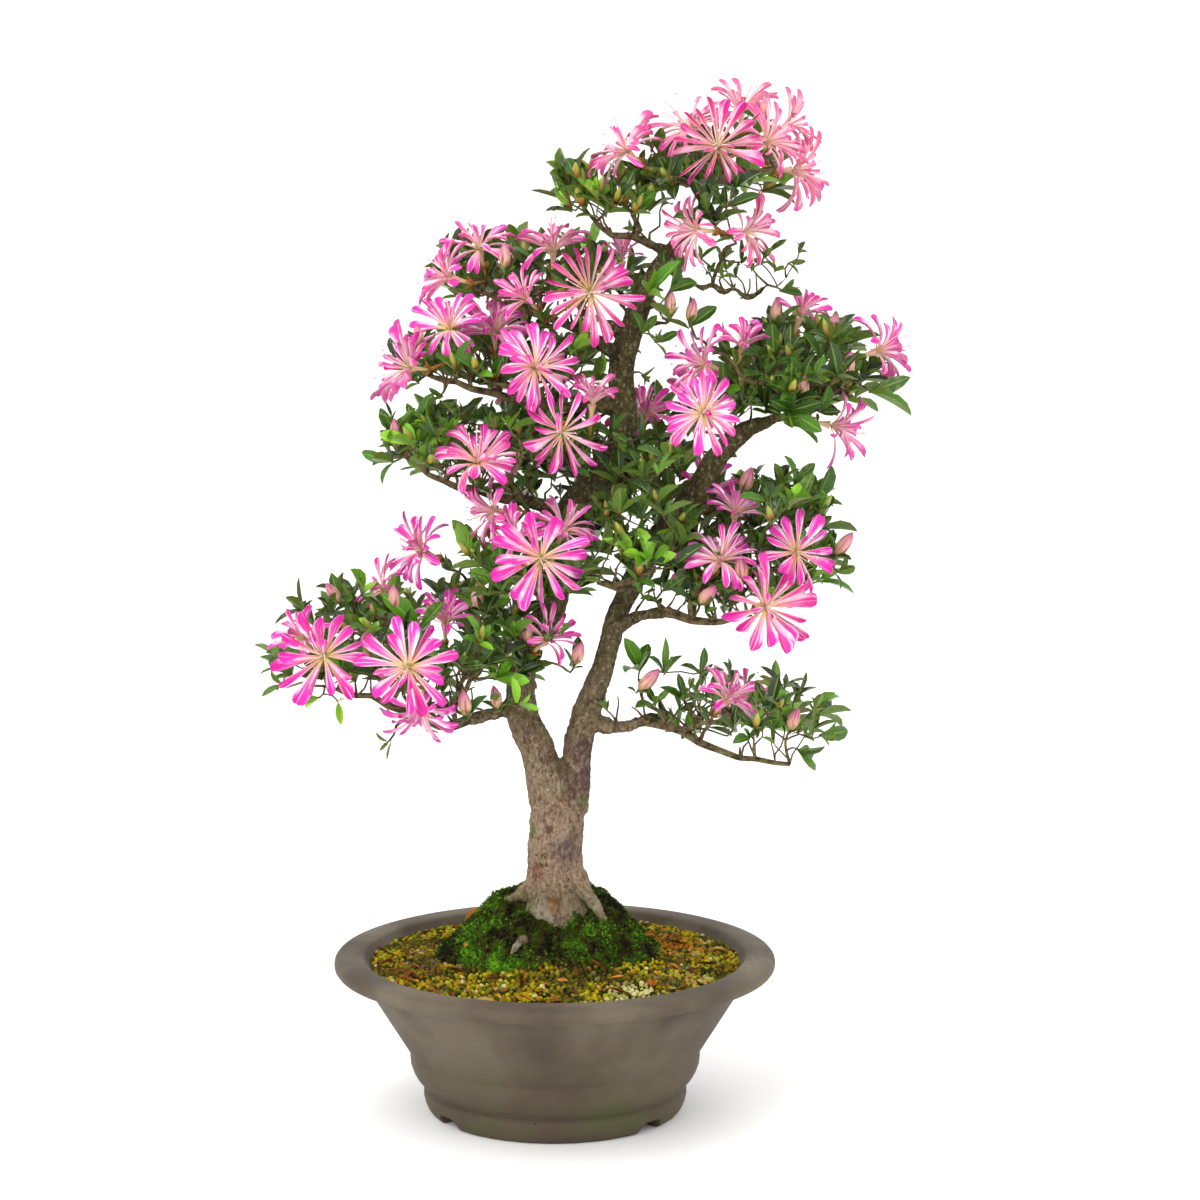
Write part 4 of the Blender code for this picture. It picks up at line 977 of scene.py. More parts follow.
# %% Leaves, buds and their trees
LEAF_ROWS = ((0, 0.12), (0.09, 0.26), (0.3, 0.76), (0.56, 1.0), (0.8, 0.76), (0.94, 0.32), (1, 0.06))
LEAF_BENDS = ((8, 0.1, 0.0), (26, 0.13, 0.2), (-8, 0.07, -0.25), (42, 0.11, 0.1), (16, 0.17, 0.0))
BUD_ROWS = ((0, 0.07), (0.1, 0.15), (0.3, 0.22), (0.55, 0.215), (0.78, 0.145), (0.93, 0.06), (1, 0.01))
buds = shape_box("bud", [lathe_shape("bud_0", BUD_ROWS, 8)])
leaf_tree = planting_tree("whorls_of_leaves", bent_blades("leaf", LEAF_ROWS, 2, 14, 0.016, LEAF_BENDS), leaf_skin)
bud_tree = planting_tree("closed_buds", buds, bud_skin)
young_tree = planting_tree("young_buds", buds, young_skin)


def twig_bark(add):
    """Thin rough bark: olive-brown, flecked grey and green."""
    patches = add("TexNoise", add("TexCoord").outputs["Object"], 230.0, 4.0)
    return add("ValToRGB", patches, stops=[
        (0.32, "#2f2618"), (0.45, "#54462f"), (0.55, "#6d5d42"), (0.63, "#5f6238"), (0.75, "#8b8065"),
    ]), patches


twig_tree = sweeping_tree("twigs", finish_of("bark_of_twigs", (0.85, 0.2), (0.6, 0.0008), twig_bark))

# %% Branches of a pad, and twigs that join them
# Each row is a pixel, a depth, the way it looks, how many leaves, how fresh and how large they are
LEAF_SPOTS = {
    "lower_left": [(280, 684, -38, -75, 10, 4, 0.55, 0.8), (278, 668, -20, -80, 25, 3, 0.4, 0.8),
        (318, 698, -46, -70, -8, 2, 0.9, 1.3), (338, 702, -48, 10, 0, 2, 0.92, 1.1),
        (520, 704, -50, 60, 15, 4, 0.93, 1.35), (515, 636, -44, 20, 60, 5, 0.7, 1.4),
        (362, 594, -22, 30, 40, 3, 0.97, 1.2), (388, 742, -44, -60, -30, 4, 0.5, 0.7),
        (545, 640, -46, 40, 50, 4, 0.7, 1.4), (418, 628, -30, -10, 60, 3, 0.6, 1.4)],
    "heart": [(648, 562, -56, 10, 50, 7, 0.97, 1.3), (630, 552, -48, -20, 60, 6, 0.93, 1.1)],
    "lower_right": [(822, 735, -26, 88, 5, 4, 0.6, 1.1), (800, 750, -24, 70, -15, 4, 0.45, 1.0),
        (640, 668, -14, -10, 70, 4, 0.5, 1.1), (664, 672, -20, 10, 70, 5, 0.6, 1.1),
        (700, 672, -16, 20, 70, 4, 0.5, 1.2), (684, 700, -30, 0, 60, 5, 0.4, 1.0),
        (655, 703, -26, -20, 60, 4, 0.4, 0.9), (750, 736, -30, 10, 60, 5, 0.45, 1.0),
        (772, 730, -20, 30, 60, 5, 0.7, 1.1), (716, 700, -8, 10, 60, 4, 0.5, 1.0)],
    "apex_left": [(568, 202, -12, -80, 20, 4, 0.88, 0.9), (596, 186, -10, -20, 60, 5, 0.95, 0.9)],
    "high_left": [(650, 292, -34, 30, 50, 5, 0.78, 1.2), (672, 290, -24, 70, 30, 3, 0.4, 1.3),
        (642, 332, -20, 40, 50, 4, 0.45, 0.9), (656, 342, -18, 70, 20, 4, 0.4, 0.8)],
    "upper_left": [(440, 396, -30, -60, 10, 4, 0.5, 0.8), (612, 434, -26, 0, 60, 5, 0.4, 0.9),
        (640, 438, -22, 30, 60, 4, 0.5, 0.9)],
    "mid_left": [(392, 462, -26, -80, 15, 4, 0.4, 0.9), (400, 436, -24, -50, 40, 4, 0.6, 0.9),
        (420, 440, -20, 30, 60, 4, 0.7, 1.1)],
    "right_mid": [(838, 572, -10, 80, 10, 4, 0.5, 0.8), (815, 500, 0, 60, 40, 5, 0.6, 1.2),
        (795, 480, 6, 40, 60, 4, 0.7, 0.9), (642, 594, -26, 0, 60, 4, 0.45, 0.9), (664, 588, -32, 20, 60, 5, 0.3, 1.0),
        (692, 600, -36, 10, 50, 4, 0.5, 0.9), (724, 604, -40, 10, 60, 5, 0.35, 0.9),
        (668, 556, -30, 0, 60, 5, 0.3, 1.1), (706, 612, -30, 40, 20, 4, 0.6, 0.8)],
    "right_upper": [(835, 345, -10, 40, 60, 5, 0.5, 1.0), (872, 392, -16, 88, 5, 3, 0.55, 1.4),
        (790, 410, -40, 20, 10, 5, 0.5, 1.2), (744, 404, -26, -10, 50, 5, 0.35, 1.0),
        (768, 412, -30, 10, 30, 5, 0.5, 1.0), (820, 412, -24, 40, 20, 4, 0.4, 0.9),
        (724, 388, -30, -30, 40, 4, 0.6, 0.9)],
    "apex": [(790, 262, -4, 80, 10, 3, 0.5, 0.7), (776, 270, -4, 50, 60, 4, 0.6, 0.8),
        (782, 290, -6, 70, 20, 4, 0.5, 0.8), (752, 268, -10, 10, 70, 4, 0.5, 0.8), (726, 206, -34, 0, 40, 4, 0.4, 1.3),
        (700, 258, -10, -10, 70, 3, 0.6, 0.8), (716, 224, -16, 0, 60, 5, 0.2, 1.3),
        (706, 210, -24, -20, 40, 4, 0.3, 1.2), (742, 262, -12, 30, 50, 4, 0.3, 0.8),
        (764, 256, -6, 40, 60, 4, 0.4, 0.7)],
}
# How full each pad is, beside one of the same room with a whorl on every twig
FULLNESS = {
    "apex": 1.2, "apex_left": 1.1, "high_left": 1.4, "upper_left": 1.4, "mid_left": 1.4, "centre": 1.3, "heart": 1.5,
    "lower_left": 1.1, "right_upper": 2.1, "right_mid": 1.8, "lower_right": 0.6, "back": 1.15,
}
# How far down whorls stand in a pad's room, from 1 at its top to -1 at its bottom
LOWEST = {"right_mid": -0.95, "right_upper": -0.8, "centre": -0.8, "heart": -0.8, "lower_right": -0.7}


def bent_run(start, start_radius, end, end_radius, heading, sag, draw):
    """A zigzag run that leaves start upwards and reaches end along its heading."""
    span = (end - start).length
    first = start + Vector((0, 0, 1)) * span * 0.12 + (end - start) * 0.3
    second = end - heading * span * sag
    steps = max(2, round(span / 7))
    run = []
    for i in range(steps + 1):
        t = i / steps
        place = start * (1 - t) ** 3 + first * 3 * t * (1 - t) ** 2 + second * 3 * t * t * (1 - t) + end * t ** 3
        if 0 < i < steps:
            place += jolt(draw, 1) * min(2.6, span * 0.1)
        run.append((place, start_radius + (end_radius - start_radius) * t ** 0.6))
    return run


def pad_branches(pad, draw):
    """The pad's own branches, gnarled a little, and the stations that twigs can start from."""
    (before, _), (tip, thick) = slender(pad.limb)[-2:]
    runs, skeleton = [], []
    for number, spine in enumerate(pad.spines):
        stations = [(place, radius * SLIMMER) for place, radius in stations_at(spine)]
        if number == 0:
            stations = [(tip - (tip - before).normalized() * 2, thick * 1.02), (tip, thick)] + stations
        else:
            root = min(skeleton, key=lambda station: (station[0] - stations[0][0]).length)
            stations.insert(0, (root[0], min(root[1], stations[0][1]) * 0.9))
        run = []
        for (start, radius), (end, end_radius) in zip(stations, stations[1:]):
            run.append((start, radius))
            steps = max(1, round((end - start).length / 11))
            for i in range(1, steps):
                run.append((start.lerp(end, i / steps) + jolt(draw, 2), radius + (end_radius - radius) * i / steps))
        run.append(stations[-1])
        runs.append(run)
        skeleton += run[2:]
    return runs, skeleton


def add_twig(skeleton, end, heading, tip_radius, draw):
    """A twig from the best station of the skeleton, which then carries others. Roots above the tip cost more."""
    def cost(station):
        away = end - station[0]
        return away.length + 0.8 * max(0, -away.z) + (30 if away.length < 6 else 0)
    root, thickness = min(skeleton, key=cost)
    run = bent_run(root, min(1.9, thickness * 0.8), end, tip_radius, heading, draw.uniform(0.15, 0.45), draw)
    skeleton += run[1:-1]
    return run


def spurs_of(skeleton, draw):
    """Short bare spurs, 4 to 9 mm long, that old branches keep where twigs died back."""
    runs = []
    for place, radius in skeleton:
        if draw.random() < 0.55:
            away = Vector((draw.uniform(-1, 1), draw.uniform(-1, 1), draw.uniform(-0.3, 1.3))).normalized()
            knee = place + away * draw.uniform(2, 4)
            tip = knee + (away + jolt(draw, 0.5)).normalized() * draw.uniform(2, 5)
            thick = min(1.3, radius * 0.6)
            runs.append([(place, thick), (knee, thick * 0.8), (tip, thick * 0.6)])
    return runs


def riser_from(place, radius, draw):
    """A thin zigzag twig that rises 8 to 29 mm from a limb, and its heading."""
    end = place + Vector((draw.uniform(-13, 13), draw.uniform(-10, 10), draw.uniform(8, 29)))
    heading = (end - place).normalized()
    return bent_run(place, min(1.2, radius * 0.5), end, 0.5, heading, 0.3, draw), heading


# %% Where leaf whorls may stand
CONE_DEPTH = 24


def covers_bloom(place):
    """Whether leaves here would run into the straps of a bloom, or hide one that looks at the camera."""
    px, py = pixel_of(place)
    for flower in flowers:
        away = place - flower.centre
        along = away.dot(flower.axis)
        wide = (away - flower.axis * along).length
        if -5 < along < CONE_DEPTH and wide < flower.bloom.length * 0.9:
            return True
        if place.y < flower.centre.y + 6 and flower.centre.y < 45:
            if math.hypot(px - flower.bloom.px, py - flower.bloom.py) < flower.bloom.length * 1.5:
                return True
    return False


def shell_places(pad, draw, spacing, most, lowest):
    """Places in the upper, outer shell of the pad's room, a spacing apart and clear of the blooms."""
    left, right, top, bottom, front, back = pad.volume
    found = []
    for _ in range(2600):
        if len(found) == most:
            break
        x, y, z = (draw.uniform(-1, 1) for _ in range(3))
        size = (abs(x) ** 2.6 + abs(y) ** 2.6 + abs(z) ** 2.6) ** (1 / 2.6)
        if size > 1 or size < 0.45 or y < lowest:
            continue
        place = at((left + right) / 2 + x * (right - left) / 2, (top + bottom) / 2 - y * (bottom - top) / 2,
                   (front + back) / 2 + z * (back - front) / 2)
        if not covers_bloom(place) and all((place - other).length >= spacing for other in found):
            found.append(place)
    return found


# %% Twigs, whorls and buds of every pad
# Millimetres between whorls, and how many of them a pad has by its room
WHORL_SPACING = 12
LEAST_WHORLS = 8
ROOM_OF_A_WHORL = 27000
# How far from a pad's fork its twigs may start on a stem
STEM_REACH = 62
# Buds up to this length are young ones, still green and brown
YOUNG_BUD = 15


def whorl_of(end, heading, count, tint, draw, size=1.0):
    """Leaves round a twig's tip, the lower ones spread flat and the upper ones raised."""
    first = draw.uniform(0, math.tau)
    ring = []
    for i in range(count):
        angle = first + math.tau * i / count + draw.uniform(-0.3, 0.3)
        lift = draw.uniform(10, 36) if i % 2 else draw.uniform(34, 66)
        length = draw.choice((9, 13, 16, 18, 21, 24)) * draw.uniform(0.88, 1.14) * size
        width = length * draw.uniform(0.3, 0.42)
        turn = round_axis(heading, angle, lift, draw.uniform(-0.5, 0.5))
        shade = clamped(tint + draw.uniform(-0.2, 0.2))
        ring.append(Planting(end - heading * draw.uniform(0, 3), turn, (width, length, length),
                             draw.randrange(len(LEAF_BENDS)), shade))
    return ring


def bud_of(end, heading, length, draw):
    """A closed bud with a collar of four brown scales."""
    collar = []
    for i in range(4):
        turn = round_axis(heading, math.tau * i / 4 + draw.uniform(-0.3, 0.3), draw.uniform(66, 80))
        reach = length * draw.uniform(0.3, 0.45)
        collar.append(Planting(end, turn, (reach * 0.55, reach, reach), 0, draw.random()))
    size = (length * draw.uniform(0.95, 1.15), length, length)
    return Planting(end, along_y(heading), size, 0, draw.random()), collar


total_whorls = 0
for number, (name, pad) in enumerate(PADS.items()):
    draw = random.Random(900 + number)
    twigs, skeleton = pad_branches(pad, draw)
    bearers = slender(pad.limb)[1:] + skeleton
    if name == "apex":
        bearers += stations_at(UNDER_APEX_TWIG)[3:]
    twigs += spurs_of(bearers, draw)
    if name == "apex":
        skeleton += stations_at(UNDER_APEX_TWIG)[2:]
    fork = at(*pad.limb[0][:3])
    skeleton += [(place, 2) for place, _ in stations_at(LEFT_STEM + RIGHT_STEM) if (place - fork).length < STEM_REACH]
    ring, closed, young, collars = [], [], [], []
    for flower in flowers:
        if flower.pad == name and flower.bloom.pad:
            twigs.append(add_twig(skeleton, flower.joint, flower.heading, 0.95, draw))
            ring += whorl_of(flower.joint, flower.heading, draw.randrange(3, 6), 0.45, draw, 0.85)
    for px, py, depth, side, rise, length in BUDS.get(name, ()):
        end, heading = at(px, py, depth), facing(side, rise)
        twigs.append(add_twig(skeleton, end, heading, 0.9, draw))
        tip, collar = bud_of(end, heading, length, draw)
        (closed if length > YOUNG_BUD else young).append(tip)
        collars += collar
        ring += whorl_of(end - heading * 2, heading, 4, 0.45, draw, 0.9)
    for px, py, depth, side, rise, count, tint, size in LEAF_SPOTS.get(name, ()):
        end, heading = at(px, py, depth), facing(side, rise)
        twigs.append(add_twig(skeleton, end, heading, 0.6, draw))
        ring += whorl_of(end, heading, count, tint, draw, size)
    left, right, top, bottom, front, back = pad.volume
    middle = at((left + right) / 2, bottom, (front + back) / 2)
    room = (right - left) * (bottom - top) * (back - front) * 0.45
    places = shell_places(pad, draw, WHORL_SPACING, round((LEAST_WHORLS + room / ROOM_OF_A_WHORL) * FULLNESS[name]),
                          LOWEST.get(name, -0.5))
    places.sort(key=lambda place: min((station[0] - place).length for station in skeleton))
    for place in places:
        heading = ((place - middle).normalized() + Vector((0, 0, 0.8))).normalized()
        twigs.append(add_twig(skeleton, place, heading, 0.65, draw))
        tint = draw.choice((0.0, 0.08, 0.2, 0.32, 0.45, 0.62, 0.86))
        ring += whorl_of(place, heading, draw.randrange(4, 8), tint, draw)
        for _ in range(3 if name == "apex_left" else draw.randrange(2)):
            length = draw.uniform(9, 15)
            lean = (heading + jolt(draw, 0.4)).normalized()
            young.append(Planting(place, along_y(lean), (length * 0.78, length, length * 0.78), 0, draw.random()))
    for place, radius in bearers * 2:
        riser, heading = riser_from(place, radius, draw)
        if draw.random() < 0.85 and not covers_bloom(riser[-1][0]):
            twigs.append(riser)
            if draw.random() < 0.65:
                ring += whorl_of(riser[-1][0], heading, draw.randrange(2, 5), draw.choice((0.2, 0.4, 0.6)), draw, 0.62)
    for place, radius in stations_at(LEFT_STEM[10:] + RIGHT_STEM[6:]):
        away = Vector((draw.uniform(-1, 1), draw.uniform(-1, 0.4), draw.uniform(-0.2, 0.9))).normalized()
        tip = place + away * (radius + draw.uniform(5, 17))
        if (place - fork).length < STEM_REACH and draw.random() < 0.75 and not covers_bloom(tip):
            twigs.append(bent_run(place + away * (radius - 2), 1.1, tip, 0.5, away, 0.2, draw))
            ring += whorl_of(tip, away, draw.randrange(2, 6), draw.choice((0.2, 0.4, 0.6)), draw, 0.6)
    total_whorls += len(places)
    meshes = [swept("twigs", twigs, twig_tree, Sides=5, Steps=2), planted("leaves", ring, leaf_tree)]
    for kind, tree in ((closed, bud_tree), (young, young_tree), (collars, scale_tree)):
        if kind:
            meshes.append(planted("part", kind, tree))
    print(name, "twigs", len(twigs), "leaves", len(ring), "whorls", len(places))
    placed(joined("leafy_twigs_" + name, meshes), "foliage", "foliage_" + name)
print("whorls besides those under blooms and buds:", total_whorls)

# %% [markdown]
# ## The pot
# The pot was thrown on a wheel and fired without glaze. A profile turned round the axis gives the same shape. It has
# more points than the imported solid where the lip, the waist and the foot ring are round, and four arched notches are
# cut from the foot so that water can run out.

# %% Unglazed stoneware
LIME_SPOT = (0.096, -0.03, 0.108)


def thrown_clay(add):
    """Dull grey-brown clay body: throwing lines 2 mm apart, dark pits, green film low down, lime inside the lip."""
    place = add("TexCoord").outputs["Object"]
    height = add("SeparateXYZ", place).outputs["Z"]
    colour = add("ValToRGB", add("TexNoise", place, 16.0, 5.0), stops=[
        (0.38, "#463b2f"), (0.5, "#544a3c"), (0.62, "#635949"),
    ])
    film = add("MapRange", add("TexNoise", place, 34.0, 4.0), 0.48, 0.66)
    cells = add("TexVoronoi", place, 85.0).outputs
    rare = add("Math LESS_THAN", add("SeparateXYZ", cells["Color"]), 0.12)
    pit = add("Math MULTIPLY", rare, add("MapRange", cells["Distance"], 0.1, 0.06))
    limed = add("MapRange", add("VectorMath DISTANCE", place, LIME_SPOT), 0.03, 0.006)
    chalk = add("MapRange", add("TexNoise", place, 800.0, 2.0), 0.58, 0.7, 0.0, 0.6)
    colour = layered(add, colour, (
        (add("MapRange", height, 0.075, 0.02, 0.0, 0.6), "#4a3f2e"),
        (add("Math MULTIPLY", add("MapRange", height, 0.07, 0.02, 0.0, 0.9), film), "#474828"),
        (pit, "#2f2620"), (add("Math MULTIPLY", limed, chalk), "#c9c7bd"),
    ))
    lines = add("TexNoise", add("Mapping", place, Scale=(1.0, 1.0, 30.0)), 14.0, 3.0)
    rough = add("Math MULTIPLY_ADD", add("TexNoise", place, 900.0, 2.0), 0.35, lines)
    return colour, add("Math MULTIPLY_ADD", pit, -0.8, rough)


stoneware = finish_of("stoneware_unglazed", (0.72, 0.35), (0.45, 0.0007), thrown_clay)

# %% Turned pot with a notched foot
POT_STEPS = 160
POT_PROFILE = [
    (129.6, 106.8), (131.2, 107.9), (134.5, 108.3), (140, 108.3), (145.5, 107.9), (148.4, 106.9), (149.8, 105.1),
    (150.2, 102.9), (149.9, 100.7), (148.6, 98.9), (146.2, 97.8), (141, 97.1), (135.4, 96.5), (132.6, 95.4),
    (131, 93.2), (117, 70.6), (104.6, 50.6), (101.2, 45.1), (99.9, 43.2), (98.9, 42), (98.6, 40.4), (99.2, 37.6),
    (98.7, 33), (97.2, 28.6), (94.9, 24.5), (92, 20.9), (89.6, 18.6), (88.3, 17.3), (88.1, 16.3), (89.2, 15.3),
    (90, 13.6), (90, 10.6), (89, 6.6), (87.4, 3), (85.8, 1), (84.2, 0.2), (82.5, 0), (77.5, 0), (75.8, 0.8),
    (74.6, 3), (74, 7), (11.5, 7), (11, 7.6), (11, 16.6), (11.6, 17), (77, 17), (82, 20.6), (86, 27), (91.5, 45),
    (123, 98), (129, 105.6),
]
FOOT_NOTCHES = (-144, -42.5, 47.5, 137.5)
NOTCH_SIZE = (30, 21, 16)
NOTCH_REACH = 84


def turned_mesh(name, profile, steps):
    """A closed profile turned round the pot's axis, with its faces outwards."""
    count = len(profile)
    host = object_of(name, mesh_of(name, [(radius * MM, 0, height * MM) for radius, height in profile],
                                   edges=[(i, (i + 1) % count) for i in range(count)]))
    having(host.modifiers.new("turn", "SCREW"), steps=steps, render_steps=steps, use_merge_vertices=True,
           merge_threshold=0.00001)
    mesh = plain_mesh(host)
    mesh.transform(Matrix.Translation((POT_X * MM, 0, 0)))
    return outward(mesh)


def notch_tool(angle):
    """A bar across the foot ring, arched on top."""
    bm = bmesh.new()
    size = Matrix.Diagonal((*(side * MM for side in NOTCH_SIZE), 1))
    middle = Vector((POT_X + NOTCH_REACH * math.cos(angle), NOTCH_REACH * math.sin(angle), 0)) * MM
    bmesh.ops.create_cube(bm, size=1, matrix=Matrix.Translation(middle) @ Matrix.Rotation(angle, 4, "Z") @ size)
    crown = [edge for edge in bm.edges if min(v.co.z for v in edge.verts) > 0
             and abs((edge.verts[1].co - edge.verts[0].co).normalized().dot(way(angle))) > 0.9]
    bmesh.ops.bevel(bm, geom=crown, offset=6 * MM, segments=6, profile=0.5, affect="EDGES")
    return object_of("notch", mesh_from("notch", bm))


pot_body = object_of("pot_body", turned_mesh("pot_body", POT_PROFILE, POT_STEPS))
notch_tools = [notch_tool(math.radians(turn)) for turn in FOOT_NOTCHES]
for tool in notch_tools:
    having(pot_body.modifiers.new("notch", "BOOLEAN"), object=tool, operation="DIFFERENCE")
having(pot_body.modifiers.new("soften", "BEVEL"), width=0.0008, segments=2, limit_method="ANGLE",
       angle_limit=math.radians(50))
pot_mesh = only_finish(plain_mesh(pot_body), stoneware)
for tool in notch_tools:
    bpy.data.objects.remove(tool)
placed(joined("pot_stoneware", [pot_mesh], crease=35), "stoneware", "pot")

# %% [markdown]
# ## Soil and moss
# The pot is filled with baked clay granules, 2 to 4 mm across: yellow-olive where algae grow on them, ochre and orange
# where they are dry, and pale cream ones among them. A mound of moss covers the roots. A bed below closes the gaps, and
# its near-black browns are painted shade, the dark that lies between granules. Granules, moss and litter are strewn
# over the ground from fixed seeds.

# %% Finishes of the ground
# Each spot is a place and its reach in metres, its colour and how much of it shows
GRANULE_SPOTS = (((0.052, 0.03, 0.105), 0.042, "#a35a1a", 0.8), ((0.03, -0.088, 0.104), 0.022, "#d2d398", 0.6),
                 ((0.066, -0.062, 0.104), 0.024, "#b79c5c", 0.4), ((-0.11, -0.03, 0.104), 0.05, "#8a5718", 0.4))


def baked_clay(add):
    """Baked clay granules: each its own colour, with an orange patch at the right and pale ones at the front right."""
    tint = add("Attribute tint").outputs["Fac"]
    place = add("TexCoord").outputs["Object"]
    colour = add("ValToRGB", tint, stops=[
        (0.0, "#1f1d07"), (0.14, "#4d4a08"), (0.34, "#83800a"), (0.54, "#ada312"), (0.66, "#a87a18"),
        (0.8, "#6b3f10"), (0.93, "#a09c30"), (1.0, "#d2cc94"),
    ])
    colour = spotted(add, place, colour, GRANULE_SPOTS, add("Math GREATER_THAN", tint, 0.3))
    damp = add("MapRange", add("TexNoise", place, 38.0, 3.0), 0.48, 0.6, 0.0, 0.75)
    return add("Mix RGBA", damp, colour, "#2c3014"), add("TexNoise", place, 900.0, 2.0)


def patchy_ground(add, stops, scale, share):
    """A matt ground finish: its ramp is read partly from noise and partly from each shape's tint."""
    place = add("TexCoord").outputs["Object"]
    clouds = add("TexNoise", place, scale, 8.0, 0.68)
    mixed = add("Mix FLOAT", share, clouds, add("Attribute tint").outputs["Fac"])
    return add("ValToRGB", mixed, stops=stops), add("TexNoise", place, 600.0, 2.0)


granule_skin = finish_of("clay_granules", (0.9, 0.08), (0.6, 0.0006), baked_clay)
# The soil bed's near-black browns are painted shade, the dark seen in the gaps between granules
bed_painted_shade, moss_skin, litter_skin = [
    finish_of(name, (roughness, 0.08), (0.6, 0.0008), patchy_ground, stops, scale, share)
    for name, roughness, scale, share, stops in (
        ("soil_bed_painted_shade", 0.95, 90.0, 0.0, [(0.3, "#14120a"), (0.5, "#2a2412"), (0.7, "#453a1c")]),
        ("moss_cushion", 0.95, 50.0, 0.26, [(0.36, "#0e0d07"), (0.42, "#272110"), (0.46, "#343610"), (0.5, "#2a450e"),
                                            (0.55, "#3f6a10"), (0.6, "#5f911b"), (0.66, "#93ba34")]),
        ("dead_leaf", 0.8, 200.0, 0.7, [(0.2, "#4d2c14"), (0.45, "#8a4c1e"), (0.7, "#b8712c"), (0.9, "#a5924c")]),
    )
]

# %% The ground's heights
SOIL_LINE = ((0, 126), (31.7, 126), (45, 119), (58, 111.5), (74, 107), (92, 105.2), (109, 104), (127, 102.3))
# How far the moss reaches, how far its crown reaches and how high that is, from the right round by the back
MOSS_WAY = [(72, 36, 147), (84, 36, 149), (78, 36, 149), (84, 38, 149), (82, 42, 148), (68, 34, 141), (54, 29, 132),
            (62, 31, 137)]


def height_on(line, x):
    """The height of a line of points at x, straight between them."""
    for (x0, h0), (x1, h1) in zip(line, line[1:]):
        if x <= x1:
            return h0 + (h1 - h0) * max(0, x - x0) / (x1 - x0)
    return line[-1][1]


def moss_way(angle):
    """The moss's reach, its crown's reach and its crown's height on the way out at an angle."""
    eighths = (angle % math.tau) / math.tau * 8
    before, share = int(eighths) % 8, eighths % 1
    share = share * share * (3 - 2 * share)
    return [a + (b - a) * share for a, b in zip(MOSS_WAY[before], MOSS_WAY[(before + 1) % 8])]


def moss_edge(angle):
    return moss_way(angle)[0] + 6 * noise.noise(Vector((math.cos(angle) * 3, math.sin(angle) * 3, 3.0)))


def soil_height(radius, angle):
    bump = noise.noise(Vector((radius * math.cos(angle), radius * math.sin(angle), 0)) / 14)
    return height_on(SOIL_LINE, radius) - 1.4 + 0.8 * bump


def moss_height(radius, angle):
    """A flat crown round the trunk, a slope that swells and hollows, and cushions of 11 and 4 mm."""
    _, crown, height = moss_way(angle)
    edge = moss_edge(angle)
    x, y = radius * math.cos(angle), radius * math.sin(angle)
    down = max(0, min(1, (radius - crown) / (edge - crown)))
    slope = down ** 0.85 + 0.1 * math.sin(down * math.pi) * math.sin(3 * angle)
    cushions = 4.6 * noise.noise(Vector((x, y, 0)) / 12) + 1.3 * noise.noise(Vector((x, y, 5)) / 4)
    ground = soil_height(radius, angle) + 0.6
    fade = max(0, min(1, (edge - radius) / 8))
    return max(height + (ground - height) * slope + cushions * fade, ground)


def polar_mesh(name, rings, radius_at, height_at, cover_at=None, spokes=120):
    """A sheet of rings and spokes round the pot's axis, face up, with a mark for how densely it is covered."""
    points, cover = [], []
    for ring in range(rings + 1):
        for spoke in range(spokes):
            angle = math.tau * spoke / spokes
            radius = radius_at(ring / rings, angle)
            points.append(Vector((POT_X + radius * math.cos(angle), radius * math.sin(angle),
                                  height_at(radius, angle))) * MM)
            cover.append(cover_at(radius, angle) if cover_at else 1.0)
    mesh = mesh_of(name, points, [(a, d, c, b) for a, b, c, d in ring_faces(rings, spokes)])
    set_marks(mesh, "cover", cover)
    return mesh


# %% Bed and granules
def wall_radius(height):
    """The inside of the bowl at a height, less a hair."""
    return 91.5 + (height - 45) * (123 - 91.5) / (98 - 45) - 0.6


BED_PROFILE = [(0, 84), (31.7, 84), (31.7, 124.5)] + [(radius, height_on(SOIL_LINE, radius) - 1.6) for radius in (
    45, 52, 58, 66, 74, 83, 92, 100, 109, 118)] + [(wall_radius(100.6), 100.6), (122.3, 98), (91, 45.2), (85.4, 27.2),
                                                   (77.2, 17.4), (0, 17.4)]
bed = turned_mesh("bed", BED_PROFILE, 96)
bed.materials.append(bed_painted_shade)
placed(joined("soil_bed", [bed], crease=40), "soil", "soil")

grains = []
for number in range(5):
    draw = random.Random(40 + number)
    ball = bmesh.new()
    bmesh.ops.create_uvsphere(ball, u_segments=6, v_segments=4, radius=1)
    for corner in ball.verts:
        corner.co *= draw.uniform(0.8, 1.15)
        corner.co.z *= 0.8
    grains.append(mesh_from(f"grain_{number}", ball))


def granule_cover(radius, angle):
    return 1.0 if radius > moss_edge(angle) - 9 else 0.0


top = polar_mesh("soil_top", 46, lambda share, angle: 52 + (125.6 - 52) * share, soil_height, granule_cover)
granule_tree = strewing_tree("granules_on_soil", shape_box("grain", grains), granule_skin)
gravel = grown("gravel", top, granule_tree, Spacing=0.0028, Crowding=4e5, Smallest=0.0013, Largest=0.0026,
               Tumble=3.1, Seed=5)
placed(joined("soil_granules", [gravel], crease=180), "soil", "soil")

